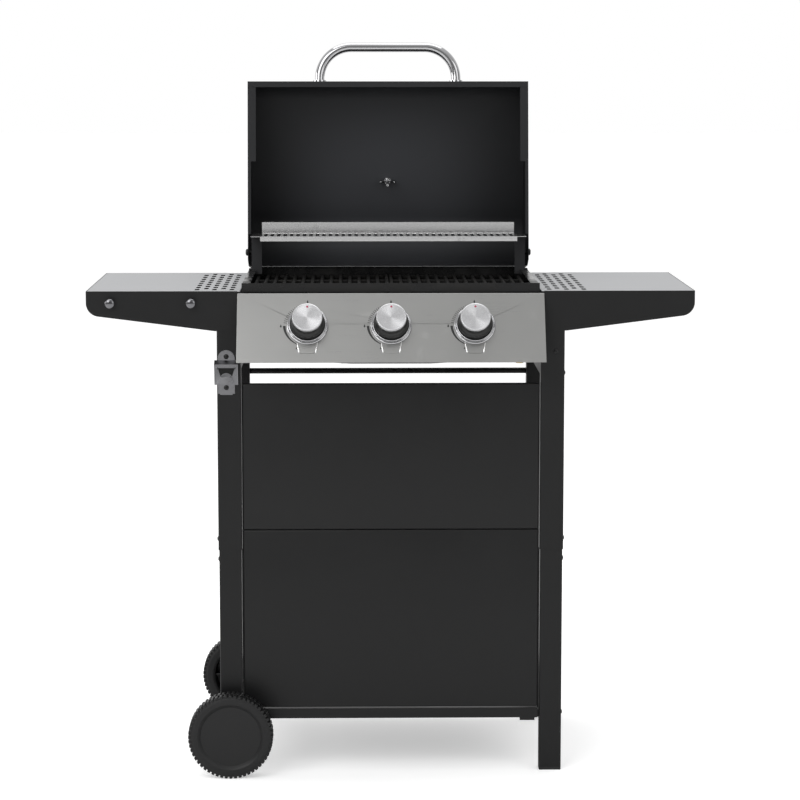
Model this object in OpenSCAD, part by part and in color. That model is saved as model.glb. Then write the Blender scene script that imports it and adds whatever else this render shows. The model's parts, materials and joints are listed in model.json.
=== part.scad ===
// Three-burner gas barbecue grill on a two-wheeled trolley frame.
// The lid stands open at rest. +X runs along the grill, the cook stands at -Y, +Z is up.

/* [Trolley frame] */
// Width over the outer faces of the legs
frame_width = 619; // [600:1:640]
// Depth from the front face of the front legs to the back of the rear legs
frame_depth = 420; // [412:1:430]
// Width of an upper leg, seen from the front
leg_w = 42.5; // [38:0.5:44]
// Depth of an upper leg, front to back
leg_d = 30; // [28:0.5:32]
// Wall of the leg tube
leg_wall = 1.2; // [1:0.1:1.6]
// Height at which the upper legs meet the lower ones
leg_split = 407; // [380:1:430]
// Height of the bottom shelf
low_shelf_z = 115; // [105:1:125]

/* [Side shelves] */
// Width over both side shelves
overall_width = 1080; // [1040:10:1120]
// Height of the shelf tops above the ground
shelf_height = 873; // [850:1:890]
// Depth of a side shelf
shelf_depth = 400; // [396:1:404]
// Radius at the outer lower corner of a shelf apron
apron_r = 24; // [18:1:28]
// Depth of the apron at the leg
apron_drop = 71; // [64:1:74]
// Columns of slots in each shelf
slot_cols = 5; // [2:1:8]
// Slots in one column
slot_rows = 8; // [4:1:8]

/* [Firebox and burners] */
// Depth of the firebox below the shelf tops
firebox_drop = 131; // [124:1:133]
// Radius of a burner tube
burner_r = 12.5; // [11.5:0.5:13.5]
// Gas ports along one burner
port_count = 16; // [8:1:20]
// Distance between two bars of a cooking grate
grate_pitch = 17; // [15:0.5:20]
// Width of one bar of a cooking grate
grate_bar = 6; // [5:0.5:8]

/* [Lid] */
// Angle the lid is open at rest
lid_open = 98; // [92:1:98]
// Radius of the bend over the front of the lid
lid_front_r = 35; // [25:1:45]
// Radius of the bend over the back of the lid
lid_rear_r = 78.5; // [60:0.5:90]
// Slope of the lid's long face
lid_slope = 19.7; // [17:0.1:20]
// Distance between the two feet of the lid handle
handle_span = 260; // [220:2:300]
// How far the handle stands off the lid
handle_reach = 78; // [70:1:84]
// Outer diameter of the handle tube
handle_d = 18; // [16:0.5:20]

/* [Control panel and knobs] */
// Lean of the control panel from the vertical
panel_tilt = 30; // [26:1:32]
// Distance between two knobs
knob_pitch = 147.5; // [130:0.5:160]
// Diameter of the ribbed skirt of a knob
knob_d = 61; // [56:1:62]
// Diameter of the bezel behind a knob
bezel_d = 72; // [70:1:78]
// Height of a knob above the panel
knob_h = 38; // [36:1:42]
// How far a knob is pushed in to light
knob_push = 3; // [2:0.5:3]

/* [Wheels and feet] */
// Diameter of a wheel
wheel_d = 152; // [148:1:156]
// Width of a wheel
wheel_w = 38; // [34:1:40]
// Number of tread lugs round a wheel
lug_count = 36; // [24:1:44]
// Diameter of the axle
axle_d = 10; // [9:0.5:12]

/* [Hidden] */
$fn = 72;
eps = 0.01;
gap = 0.3;
sheet = 1.2;
// the frame's front plane lies this far in front of the origin
centre_y = 216.63;
top = shelf_height;
post_in = frame_width / 2 - leg_w;
post_x = frame_width / 2 - leg_w / 2;
leg_top = top - 5;
leg_ys = [leg_d / 2, frame_depth - leg_d / 2];
lower_w = leg_w - 2 * leg_wall - 0.2;
lower_d = leg_d - 2 * leg_wall - 0.2;
lower_over = 60;
short_leg_z = 48;
foot_t = 5;
body_half = post_in - 2;
screw_r = 2;
screw_head_r = 4.6;
screw_zs = [low_shelf_z - 10, leg_split - 18, leg_split + 19, top - 148];
face_screw_z = top - 108;
// side shelves
shelf_half = overall_width / 2;
shelf_in = post_in + 0.5;
frame_t = 1.5;
apron_end = top - 21;
apron_slope = 7.3;
slot_w = 8;
slot_l = 26;
slot_x0 = 283;
slot_dx = 15.5;
slot_y0 = 33;
slot_dy = 44;
peg_xs = [-shelf_half + 43, -shelf_half + 186];
peg_z = top - 21;
// firebox
fb_t = 1.5;
fb_front = 12;
fb_back = 388;
fb_floor = top - firebox_drop;
fb_rim = top + 10;
fb_band = top + 13;
rim_w = 14;
ledge_z = top - 13;
tamer_z = top - 51;
burner_z = top - 77;
burner_xs = [-knob_pitch, 0, knob_pitch];
// control panel
panel_half = body_half + 7;
panel_top = [-3, top - 4];
panel_h = 116;
panel_share = 0.47;
knob_y = panel_top[0] - panel_share * panel_h * tan(panel_tilt);
knob_z = panel_top[1] - panel_share * panel_h;
manifold_y = -14;
manifold_z = top - 90;
manifold_r = 8;
inlet_x = 228;
inlet_r = 6.6;
stem_r = 3;
// lid, drawn closed and swung open about its pivot
pivot_y = 365;
pivot_z = top + 42;
lid_half = body_half + 1.5;
lid_front = 42;
lid_back = 390;
lid_low = top + 18;
lid_skirt = top + 53;
lid_knee = top + 92;
lid_peak = lid_knee + (lid_back - lid_front) * tan(lid_slope);
gauge_y = 217;
gauge_z = lid_knee + (gauge_y - lid_front) * tan(lid_slope);
handle_z = lid_low + 31;
handle_bend = 60;
// warming rack and its brackets
bracket_in = body_half - 25;
bracket_out = body_half - 5.5;
arm_z = top + 75.7;
rack_z = top + 76;
rack_half = body_half - 7;
rack_front = 285;
rack_back = 385;
// cooking grates
grate_half = body_half - 16;
grate_front = 60;
grate_back = 384;
// grease tray
tray_half = 90;
tray_front = 180;
tray_back = 400;
tray_top = fb_floor - 4;
tray_deep = 15;
// wheels
wheel_z = wheel_d / 2;
wheel_gap = 14;
hub_r = 55;
axle_end = 40;

// ---------------------------------------------------------------- helpers

// moves a piece from the frame's front plane to the shared origin
module placed() {
  translate([0, -centre_y, 0]) children();
}

// a box given by its two corners
module box(a, b) {
  translate(a) cube(b - a);
}

// a 2D outline in (y, z) drawn along X
module along_x(x0, x1) {
  translate([x0, 0, 0]) rotate([90, 0, 90]) linear_extrude(x1 - x0) children();
}

// a 2D outline in (x, z) drawn along Y
module along_y(y0, y1) {
  translate([0, y1, 0]) rotate([90, 0, 0]) linear_extrude(y1 - y0) children();
}

// a round bar along X, its end at p
module bar_x(p, r, l) {
  translate(p) rotate([0, 90, 0]) cylinder(r = r, h = l);
}

// a round bar along Y, its end at p
module bar_y(p, r, l) {
  translate(p) rotate([-90, 0, 0]) cylinder(r = r, h = l);
}

// a rectangle with rounded corners, about its centre
module soft_rect(w, d, r) {
  square([w - 2 * r, d], center = true);
  square([w, d - 2 * r], center = true);
  for (x = [-1, 1], y = [-1, 1]) {
    translate([x * (w / 2 - r), y * (d / 2 - r)]) circle(r);
  }
}

// a rectangular tube's cross-section
module tube_2d(w, d, r, t) {
  difference() {
    soft_rect(w, d, r);
    soft_rect(w - 2 * t, d - 2 * t, r - t);
  }
}

// keeps a piece drawn on the right side, or mirrors it to the left
module sided(s) {
  scale_x = s;
  if (scale_x < 0) {
    mirror([1, 0, 0]) children();
  } else {
    children();
  }
}

// ---------------------------------------------------------------- legs

// holes for the screws in the outer side of a right-hand leg
module leg_bores(y) {
  for (z = screw_zs) {
    bar_x([frame_width / 2 - 8, y, z], screw_r + 0.1, 10);
  }
}

module upper_leg(s, y) {
  color([0.15, 0.15, 0.16])
  placed() sided(s)
  difference() {
    translate([post_x, y, leg_split]) linear_extrude(leg_top - leg_split) {
      tube_2d(leg_w, leg_d, 3, leg_wall);
    }
    leg_bores(y);
    if (y < frame_depth / 2) {
      for (z = s < 0 ? opener_screw_zs : [face_screw_z]) {
        bar_y([s < 0 ? opener_x : post_x + 6, -1, z], screw_r + 0.1, 8);
      }
    }
  }
}

module lower_leg(s, y) {
  low = s < 0 ? short_leg_z + 3 : foot_t;
  color([0.15, 0.15, 0.16])
  placed() sided(s)
  difference() {
    translate([post_x, y, low]) linear_extrude(leg_split + lower_over - low) {
      tube_2d(lower_w, lower_d, 2.6, leg_wall);
    }
    leg_bores(y);
    if (s < 0) {
      bar_y([post_x, y - leg_d, wheel_z], axle_d / 2 + 0.1, 2 * leg_d);
    }
  }
}

module upper_leg_front_left() { upper_leg(-1, leg_ys[0]); }
module upper_leg_front_right() { upper_leg(1, leg_ys[0]); }
module upper_leg_rear_left() { upper_leg(-1, leg_ys[1]); }
module upper_leg_rear_right() { upper_leg(1, leg_ys[1]); }
module lower_leg_front_left() { lower_leg(-1, leg_ys[0]); }
module lower_leg_front_right() { lower_leg(1, leg_ys[0]); }
module lower_leg_rear_left() { lower_leg(-1, leg_ys[1]); }
module lower_leg_rear_right() { lower_leg(1, leg_ys[1]); }

// plastic plugs under the legs, feet on the right and short plugs on the left
module foot_caps() {
  plug_w = lower_w - 2 * leg_wall - 0.2;
  plug_d = lower_d - 2 * leg_wall - 0.2;
  color([0.08, 0.08, 0.08])
  placed()
  for (y = leg_ys, s = [-1, 1]) {
    z = s < 0 ? short_leg_z : 0;
    t = s < 0 ? 3 : foot_t;
    translate([s * post_x, y, z]) {
      linear_extrude(t) soft_rect(lower_w, lower_d, 3);
      linear_extrude(t + 15) soft_rect(plug_w, plug_d, 1.4);
    }
  }
}

// one pan-head screw, its head standing on z = 0
module pan_screw(l) {
  translate([0, 0, -l]) cylinder(r = screw_r, h = l + eps);
  cylinder(r = screw_head_r, h = 1.4);
  translate([0, 0, 1.4]) cylinder(r1 = screw_head_r, r2 = 2.6, h = 1.4);
}

module frame_screws() {
  color([0.12, 0.12, 0.13])
  placed() {
    for (s = [-1, 1], y = leg_ys, z = screw_zs) {
      x = z > leg_split ? frame_width / 2 : frame_width / 2 - leg_wall - 0.1;
      sided(s) translate([x, y, z]) rotate([0, 90, 0]) pan_screw(6);
    }
    translate([post_x + 6, 0, face_screw_z]) rotate([90, 0, 0]) pan_screw(7);
    for (z = opener_screw_zs) {
      translate([-opener_x, -sheet, z]) rotate([90, 0, 0]) pan_screw(7);
    }
  }
}

// ---------------------------------------------------------------- frame parts

module side_rail(s) {
  color([0.15, 0.15, 0.16])
  placed() sided(s)
  along_y(leg_d, frame_depth - leg_d) {
    translate([post_x, top - 148]) tube_2d(24, 40, 2.5, leg_wall);
  }
}
module side_rail_left() { side_rail(-1); }
module side_rail_right() { side_rail(1); }

module rear_crossbar() {
  color([0.15, 0.15, 0.16])
  placed()
  bar_x([-post_in, leg_ys[1], top - 190], 5.5, 2 * post_in);
}

// a sheet panel with its four edges folded back
module folded_panel(z0, z1) {
  t = 1;
  difference() {
    box([-body_half, 3, z0], [body_half, 15, z1]);
    box([-body_half + t, 3 + t, z0 + t], [body_half - t, 16, z1 - t]);
  }
  for (s = [-1, 1]) {
    sided(s) box([body_half - eps, 4, (z0 + z1) / 2 - 12], [post_in, 14, (z0 + z1) / 2 + 12]);
  }
}

module front_panel_upper() {
  color([0.15, 0.15, 0.16])
  placed() folded_panel(leg_split + 36.6, top - 166);
}

module front_panel_lower() {
  color([0.16, 0.16, 0.17])
  placed() folded_panel(low_shelf_z + 2.6, leg_split + 36);
}

module bottom_shelf() {
  drop = 18;
  color([0.15, 0.15, 0.16])
  placed() {
    difference() {
      box([-body_half, 3, low_shelf_z - drop], [body_half, frame_depth - 3, low_shelf_z]);
      box([-body_half + sheet, 3 + sheet, low_shelf_z - drop - 1],
        [body_half - sheet, frame_depth - 3 - sheet, low_shelf_z - sheet]);
    }
    for (s = [-1, 1], y = [leg_ys[0] - 8, leg_ys[1] - 8]) {
      sided(s) box([body_half - eps, y, low_shelf_z - drop], [post_in + 1.2, y + 16, low_shelf_z - 4]);
    }
    box([233, 3, low_shelf_z - drop - 5], [260, 4.2, low_shelf_z - drop + eps]);
  }
}

module axle() {
  color([0.7, 0.7, 0.72])
  placed()
  bar_y([-post_x, -axle_end, wheel_z], axle_d / 2, frame_depth + 2 * axle_end);
}

// ---------------------------------------------------------------- side shelves

// an oblong slot through a shelf, its long side along Y
module slot(w, l, h) {
  translate([-w / 2, -(l - w) / 2, 0]) cube([w, l - w, h]);
  for (s = [-1, 1]) {
    translate([0, s * (l - w) / 2, 0]) cylinder(r = w / 2, h = h, $fn = 32);
  }
}

module shelf_top(s) {
  color([0.78, 0.78, 0.79])
  placed() sided(s)
  difference() {
    union() {
      box([shelf_in, gap, top - sheet], [shelf_half - frame_t, shelf_depth, top]);
    }
    for (c = [0 : slot_cols - 1], r = [0 : slot_rows - 1]) {
      y = slot_y0 + r * slot_dy + (c % 2) * slot_dy / 2;
      translate([slot_x0 + c * slot_dx, y, top - 2]) slot(slot_w, slot_l, 3);
    }
  }
}
module shelf_top_left() { shelf_top(-1); }
module shelf_top_right() { shelf_top(1); }

// outline of the apron on the right, from the leg out to the rounded end
module apron_2d(x_in) {
  cx = shelf_half - apron_r;
  tx = cx + apron_r * sin(apron_slope);
  tz = apron_end - apron_r * cos(apron_slope);
  polygon([[x_in, top], [shelf_half, top], [shelf_half, apron_end], [cx, apron_end],
    [tx, tz], [frame_width / 2 + 3, top - apron_drop], [x_in, top - apron_drop]]);
  intersection() {
    translate([cx, apron_end]) circle(apron_r);
    translate([cx - apron_r - 1, apron_end - apron_r - 1]) square([2 * apron_r + 2, apron_r + 2]);
  }
}

module shelf_frame(s) {
  ledge = top - sheet;
  color([0.14, 0.14, 0.15])
  placed() sided(s) {
    difference() {
      along_y(-frame_t, 0) apron_2d(panel_half + gap);
      if (s < 0) {
        for (x = peg_xs) {
          bar_y([-x, -3, peg_z], 2.6, 6);
        }
      }
    }
    along_y(shelf_depth, shelf_depth + frame_t) apron_2d(frame_width / 2 + 1);
    box([shelf_half - frame_t, -eps, apron_end], [shelf_half, shelf_depth + eps, top]);
    // ledge under the top, with a shallow tray below the slots
    difference() {
      union() {
        box([shelf_in, -eps, ledge - frame_t], [shelf_half - frame_t + eps, shelf_depth + eps, ledge]);
        box([shelf_in + 8.5, 32, ledge - 13], [shelf_in + 85.5, shelf_depth - 10.5, ledge - frame_t + eps]);
      }
      box([shelf_in + 96, 12, ledge - 3], [shelf_half - 13, shelf_depth - 12, ledge + 1]);
      box([shelf_in + 10, 33.5, ledge - 11.5], [shelf_in + 84, shelf_depth - 12, ledge + 1]);
    }
    box([frame_width / 2 + 1, shelf_depth / 2 - 10, ledge - 22],
      [shelf_half - frame_t + eps, shelf_depth / 2 + 10, ledge - frame_t + eps]);
  }
}
module shelf_frame_left() { shelf_frame(-1); }
module shelf_frame_right() { shelf_frame(1); }

// two headed pegs for hanging tools on the left apron
module tool_pegs() {
  color([0.85, 0.85, 0.86])
  placed()
  for (x = peg_xs) {
    translate([x, -frame_t, peg_z]) rotate([90, 0, 0]) {
      translate([0, 0, -8]) cylinder(r = 2.5, h = 8 + eps);
      translate([0, 0, -frame_t - 4]) cylinder(r = 5, h = 4, $fn = 6);
      cylinder(r = 4, h = 10 + eps);
      translate([0, 0, 10]) cylinder(r1 = 7, r2 = 8.5, h = 1.5 + eps);
      translate([0, 0, 11.5]) cylinder(r = 8.5, h = 2.5 + eps);
      translate([0, 0, 14]) cylinder(r1 = 8.5, r2 = 7, h = 1.2);
    }
  }
}

opener_x = post_x + 4.5;
opener_half = 21;
opener_screw_zs = [top - 116.5, top - 172];

// stamped bottle opener: two screwed tabs, a hood over the mouth and a lip below it
module bottle_opener() {
  z = top - 183;
  color([0.62, 0.62, 0.63])
  placed() translate([-opener_x, 0, 0]) {
    difference() {
      union() {
        along_y(-sheet, 0) {
          translate([-15, z]) square([30, 64]);
          translate([0, z + 63]) circle(15);
          difference() {
            translate([-opener_half, z + 16]) square([2 * opener_half, 44]);
            difference() {
              polygon([[-17, z + 47], [17, z + 47], [11, z + 31], [-11, z + 31]]);
              translate([0, z + 26]) circle(12.5);
            }
          }
          translate([-11, z - 2]) square([22, 3]);
        }
        along_x(-opener_half, opener_half) {
          polygon([[-sheet + eps, z + 60], [-14, z + 54], [-14, z + 49], [-12.6, z + 49],
            [-12.6, z + 53], [-sheet + eps, z + 57.4]]);
        }
        for (x = [-opener_half, opener_half - 1.4]) {
          along_x(x, x + 1.4) {
            polygon([[-sheet + eps, z + 59], [-13.4, z + 54], [-13.4, z + 49], [-6, z + 24],
              [-sheet + eps, z + 16]]);
          }
        }
      }
      for (h = opener_screw_zs) {
        bar_y([0, -3, h], screw_r + 0.1, 6);
      }
    }
    difference() {
      translate([0, -sheet + eps, z + 30]) cylinder(r = 9, h = 1.6);
      box([-12, -sheet + 2 * eps, z + 29], [12, 12, z + 33]);
    }
  }
}

// ---------------------------------------------------------------- firebox

module firebox() {
  lip = 6;
  wall = body_half;
  color([0.13, 0.13, 0.13])
  placed() {
    difference() {
      union() {
        box([-wall, fb_front, fb_floor + 10], [wall, fb_front + fb_t, fb_band]);
        box([-wall, fb_back - fb_t, fb_floor + 10], [wall, fb_back, top + 8]);
        // wind guard that closes the gap under the open lid
        box([-wall + 2, fb_back - eps, top - 30], [wall - 2, fb_back + 1.2, top + 12.6]);
        for (s = [-1, 1]) {
          sided(s) {
            box([wall - fb_t, fb_front, fb_floor + 10], [wall, fb_back, fb_rim]);
            box([wall - rim_w, fb_front + fb_t, fb_rim - fb_t], [wall, fb_back, fb_rim]);
            box([wall, leg_ys[0] - 8, top - 60], [post_in, leg_ys[0] + 8, top - 20]);
          }
        }
        // front rim the lid closes over, with its edge turned down
        box([-wall, fb_front, fb_rim - 2 * fb_t], [wall, 57, fb_rim - fb_t]);
        box([-wall + rim_w, 57 - fb_t, fb_rim - fb_t - lip], [wall - rim_w, 57, fb_rim - fb_t]);
        // ledges for the grates and the flame tamers
        box([-wall + fb_t, fb_front, ledge_z - fb_t], [wall - fb_t, 70, ledge_z]);
        box([-wall + fb_t, 374, ledge_z - fb_t], [wall - fb_t, fb_back, ledge_z]);
        box([-wall + fb_t, fb_front, tamer_z - fb_t], [wall - fb_t, 26, tamer_z]);
        box([-wall + fb_t, 374, tamer_z - fb_t], [wall - fb_t, fb_back, tamer_z]);
        // sloping floor
        along_y(fb_front, fb_back) {
          polygon([[-wall, fb_floor + 12], [-wall, fb_floor + 10], [-70, fb_floor],
            [70, fb_floor], [wall, fb_floor + 10], [wall, fb_floor + 12],
            [70, fb_floor + fb_t], [-70, fb_floor + fb_t]]);
        }
      }
      for (x = burner_xs) {
        bar_y([x, fb_front - 2, burner_z], burner_r + 1.5, 6);
      }
      // drain over the grease tray and air slots low in the back
      box([-60, 205, fb_floor - 1], [60, 335, fb_floor + 3]);
      for (x = [-200 : 50 : 200]) {
        box([x - 15, fb_back - 3, fb_floor + 24], [x + 15, fb_back + 1, fb_floor + 32]);
      }
      // notches for the hinge brackets, and the hole for the screw of each
      for (s = [-1, 1]) {
        sided(s) box([bracket_in - gap, 345 - gap, fb_rim - 3], [bracket_out + gap, 368 + gap, fb_rim + 1]);
        translate([s * (wall - 3.1), 356, fb_rim - 4]) cylinder(r = 1.5, h = 6);
      }
    }
  }
}

// folded bracket that carries the lid's hinge bolt and the end of the warming rack
module hinge_bracket(s) {
  t = 1.5;
  color([0.2, 0.2, 0.21])
  placed() sided(s)
  difference() {
    union() {
      box([bracket_in, 345, top + 2], [bracket_out, 345 + t, arm_z]);
      box([bracket_out - t, 345, top + 2], [bracket_out, 368, arm_z]);
      box([bracket_in, 300, arm_z - t], [bracket_out, 383, arm_z]);
      box([bracket_out - eps, 347, fb_rim], [body_half, 367, fb_rim + t]);
    }
    bar_x([bracket_in, pivot_y, pivot_z], stem_r + 0.05, 30);
    translate([body_half - 3.1, 356, fb_rim - 1]) cylinder(r = 1.5, h = 4);
  }
}
module hinge_bracket_left() { hinge_bracket(-1); }
module hinge_bracket_right() { hinge_bracket(1); }

// shouldered hinge bolts with their nuts
module hinge_bolts() {
  seat = lid_half + gap;
  color([0.1, 0.1, 0.1])
  placed()
  for (s = [-1, 1]) {
    sided(s) {
      bar_x([bracket_in + 8, pivot_y, pivot_z], stem_r, seat - bracket_in - 8 + eps);
      bar_x([seat, pivot_y, pivot_z], 6.5, 3);
      translate([seat + 3 - eps, pivot_y, pivot_z]) rotate([0, 90, 0]) cylinder(r1 = 6.5, r2 = 4, h = 1.8);
      bar_x([bracket_out, pivot_y, pivot_z], 4.8, lid_half - sheet - gap - bracket_out);
      translate([bracket_out - 1.5 - 4.5, pivot_y, pivot_z]) rotate([0, 90, 0]) {
        cylinder(r = 5.6, h = 4.5, $fn = 6);
      }
    }
  }
}

module burner(x) {
  y0 = 17;
  y1 = 352;
  color([0.66, 0.66, 0.66])
  placed()
  difference() {
    union() {
      bar_y([x, y0, burner_z], burner_r, y1 - y0);
      bar_y([x, y1 - eps, burner_z], 5, fb_back - fb_t - y1);
    }
    bar_y([x, y0 - 1, burner_z], burner_r - 1, y1 - y0 - 1);
    for (i = [0 : port_count - 1]) {
      y = 90 + i * 250 / port_count;
      bar_x([x - 20, y, burner_z + 2], 1.4, 40, $fn = 24);
    }
    box([x - 30, 34, burner_z - 5], [x + 30, 50, burner_z + 5]);
  }
}
module burner_left() { burner(burner_xs[0]); }
module burner_centre() { burner(burner_xs[1]); }
module burner_right() { burner(burner_xs[2]); }

// folded roofs over the burners
module flame_tamers() {
  w = 44;
  h = 24;
  t = 1.4;
  color([0.3, 0.29, 0.28])
  placed()
  for (x = burner_xs) {
    difference() {
      along_y(18, 382) translate([x, tamer_z]) {
        polygon([[-w, 0], [-w, t], [0, h], [w, t], [w, 0], [w - 2, 0], [0, h - 2.2], [-w + 2, 0]]);
      }
      for (y = [60 : 40 : 340], s = [-1, 1]) {
        translate([x + s * 22, y, tamer_z - 1]) cylinder(r = 4, h = 30, $fn = 32);
      }
    }
  }
}

// ---------------------------------------------------------------- gas train

// local frame of one knob: z leaves the panel at right angles, y climbs the panel
module knob_frame(x) {
  translate([x, knob_y, knob_z]) rotate([90 - panel_tilt, 0, 0]) children();
}

module gas_manifold() {
  color([0.55, 0.55, 0.56])
  placed()
  difference() {
    union() {
      bar_x([-190, manifold_y, manifold_z], manifold_r, 390);
      for (x = [-90, 70]) {
        box([x, manifold_y, manifold_z - 1.5], [x + 20, fb_front, manifold_z + 1.5]);
      }
    }
    bar_x([-188, manifold_y, manifold_z], manifold_r - 1.5, 386);
    bar_x([190, manifold_y, manifold_z], 4.1, 20);
    for (x = burner_xs) {
      translate([x, manifold_y, manifold_z]) rotate([-panel_tilt, 0, 0]) cylinder(r = 4.1, h = 20);
    }
  }
}

// elbow and threaded nipple for the gas hose, reached from below
module gas_inlet() {
  low = panel_top[1] - panel_h - 7;
  color([0.78, 0.62, 0.3])
  placed()
  difference() {
    union() {
      bar_x([192, manifold_y, manifold_z], 4, inlet_x - 192);
      bar_x([202, manifold_y, manifold_z], 7, inlet_x - 202);
      translate([inlet_x, manifold_y, manifold_z]) cube(18, center = true);
      translate([inlet_x, manifold_y, manifold_z - 15]) cylinder(r = 8.6, h = 7, $fn = 6);
      translate([inlet_x, manifold_y, low]) cylinder(r = inlet_r, h = manifold_z - low);
    }
    translate([inlet_x, manifold_y, low - 1]) cylinder(r = 3.5, h = manifold_z - low - 4);
  }
}

// three push-and-turn valves, each over the manifold with its jet in a burner's mouth
module valve_bodies() {
  color([0.78, 0.62, 0.3])
  placed()
  for (x = burner_xs) {
    knob_frame(x) {
      difference() {
        union() {
          translate([0, 0, -38]) cylinder(r = 8, h = 24);
          translate([0, 0, -17]) cylinder(r = 11, h = 3);
        }
        translate([0, 0, -32]) cylinder(r = stem_r + 0.08, h = 30);
      }
    }
    difference() {
      bar_y([x, -6, burner_z], 4.5, 30);
      bar_y([x, 8, burner_z], 0.6, 20, $fn = 24);
      knob_frame(x) translate([0, 0, -32.5]) cylinder(r = 4, h = 30);
    }
    difference() {
      translate([x, manifold_y, manifold_z]) rotate([-panel_tilt, 0, 0]) {
        translate([0, 0, 6.6]) cylinder(r = 4, h = 9);
      }
      knob_frame(x) translate([0, 0, -32.5]) cylinder(r = 4, h = 30);
    }
  }
}

module valve_stem(x) {
  color([0.75, 0.75, 0.77])
  placed() knob_frame(x) {
    translate([0, 0, -27]) cylinder(r = stem_r, h = knob_h + 18);
    translate([0, 0, -8.5]) cylinder(r = 6, h = 1.5);
  }
}
module valve_stem_left() { valve_stem(burner_xs[0]); }
module valve_stem_centre() { valve_stem(burner_xs[1]); }
module valve_stem_right() { valve_stem(burner_xs[2]); }

// ---------------------------------------------------------------- control panel

// outline of the panel in (y, z), drawn in by t
module panel_2d(t) {
  h = panel_h;
  k = tan(panel_tilt);
  m = t / cos(panel_tilt);
  polygon([[t > 0 ? 5 : 0, panel_top[1] - t],
    [panel_top[0] - t * k + m, panel_top[1] - t],
    [panel_top[0] - (h - t) * k + m, panel_top[1] - h + t],
    [t > 0 ? 5 : 0, panel_top[1] - h + t]]);
}

module control_panel() {
  color([0.66, 0.66, 0.66])
  placed()
  difference() {
    union() {
      difference() {
        along_x(-panel_half, panel_half) panel_2d(0);
        along_x(-panel_half + sheet, panel_half - sheet) panel_2d(sheet);
      }
      for (x = burner_xs) {
        knob_frame(x) translate([0, 0, -eps]) linear_extrude(1) {
          polygon([[-19, -20], [-14.5, -50], [-11, -53], [11, -53], [14.5, -50], [19, -20]]);
        }
      }
    }
    for (x = burner_xs) {
      knob_frame(x) translate([0, 0, -3]) cylinder(r = 7.5, h = 6);
    }
    translate([inlet_x, manifold_y, panel_top[1] - panel_h - 2]) cylinder(r = 13, h = 6);
  }
}

module knob_bezels() {
  r = bezel_d / 2;
  color([0.85, 0.85, 0.86])
  placed()
  for (x = burner_xs) {
    knob_frame(x) translate([0, 0, 1.05]) rotate_extrude() {
      polygon([[9, 0], [r, 0], [r, 2.6], [r - 1, 3.6], [r - 2.4, 3.6], [r - 2.4, 6],
        [r - 3.2, 6.8], [r - 4.4, 6.8], [r - 4.4, 1.6], [9, 1.6]]);
    }
  }
}

// black ribbed body of a knob
module knob_body(x) {
  r = knob_d / 2;
  low = 6.5;
  color([0.06, 0.06, 0.06])
  placed() knob_frame(x)
  difference() {
    union() {
      rotate_extrude() {
        polygon([[0, low], [r - 1, low], [r - 0.6, low + 1], [r - 0.6, low + 11],
          [r - 2.5, low + 14], [r - 4.5, knob_h - 6], [0, knob_h - 6]]);
      }
      for (i = [0 : 35]) {
        rotate([0, 0, i * 10]) translate([r - 2.4, -0.9, low + 1.6]) cube([2.4, 1.8, 9]);
      }
    }
    translate([0, 0, low - 1]) cylinder(r = stem_r + 0.05, h = knob_h - low - 6.5);
    translate([0, 0, low - 1]) rotate_extrude() {
      polygon([[8, 0], [r - 4, 0], [r - 5, 9], [8, 9]]);
    }
  }
}
module knob_left() { knob_body(burner_xs[0]); }
module knob_centre() { knob_body(burner_xs[1]); }
module knob_right() { knob_body(burner_xs[2]); }

// bright cap on the knob's face, with the edge turned down
module knob_face(x) {
  r = knob_d / 2 - 4;
  color([0.75, 0.75, 0.76])
  placed() knob_frame(x)
  rotate_extrude() {
    polygon([[0, knob_h - 6], [r, knob_h - 6], [r, knob_h - 1], [r - 1, knob_h],
      [r - 2.2, knob_h], [0, knob_h - 0.8]]);
  }
}
module knob_face_left() { knob_face(burner_xs[0]); }
module knob_face_centre() { knob_face(burner_xs[1]); }
module knob_face_right() { knob_face(burner_xs[2]); }

// ---------------------------------------------------------------- inside pieces

module tray_runners() {
  out = tray_half + 11;
  color([0.4, 0.4, 0.41])
  placed()
  for (s = [-1, 1]) {
    sided(s) {
      box([tray_half + 1, tray_front, tray_top - 3], [out, tray_back - 16, tray_top - 1.8]);
      box([out - sheet, tray_front, tray_top - 3], [out, tray_back - 16, fb_floor + 0.3]);
    }
  }
}

module grease_tray() {
  t = 1;
  low = tray_top - tray_deep;
  color([0.6, 0.6, 0.61])
  placed() {
    difference() {
      box([-tray_half, tray_front, low], [tray_half, tray_back, tray_top]);
      box([-tray_half + t, tray_front + t, low + t], [tray_half - t, tray_back - t, tray_top + 1]);
    }
    for (s = [-1, 1]) {
      sided(s) box([tray_half - t, tray_front, tray_top - t], [tray_half + 8.5, tray_back, tray_top]);
    }
    box([-40, tray_back - t, tray_top - t], [40, tray_back + 14, tray_top]);
    box([-40, tray_back + 13, tray_top - 8], [40, tray_back + 14, tray_top]);
  }
}

module grate(s) {
  x0 = 1;
  x1 = grate_half;
  low = ledge_z + gap;
  count = floor((x1 - x0 - 2 * grate_bar) / grate_pitch);
  pitch = (x1 - x0 - grate_bar) / (count + 1);
  color([0.1, 0.1, 0.1])
  placed() sided(s) {
    // the outer rear corner is left open, so that the grate lifts past the hinge bracket
    for (i = [0 : count + 1]) {
      x = x0 + i * pitch;
      back = x + grate_bar > bracket_in - gap ? 345 - 2 * gap : grate_back;
      box([x, grate_front, low + 2.5], [x + grate_bar, back, top - 1]);
    }
    for (i = [0 : 3]) {
      y = grate_front + i * (grate_back - grate_front - 8) / 3;
      box([x0, y, low], [i < 3 ? x1 : bracket_in - 2 * gap, y + 8, top - 3]);
    }
  }
}
module grate_left() { grate(-1); }
module grate_right() { grate(1); }

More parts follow.
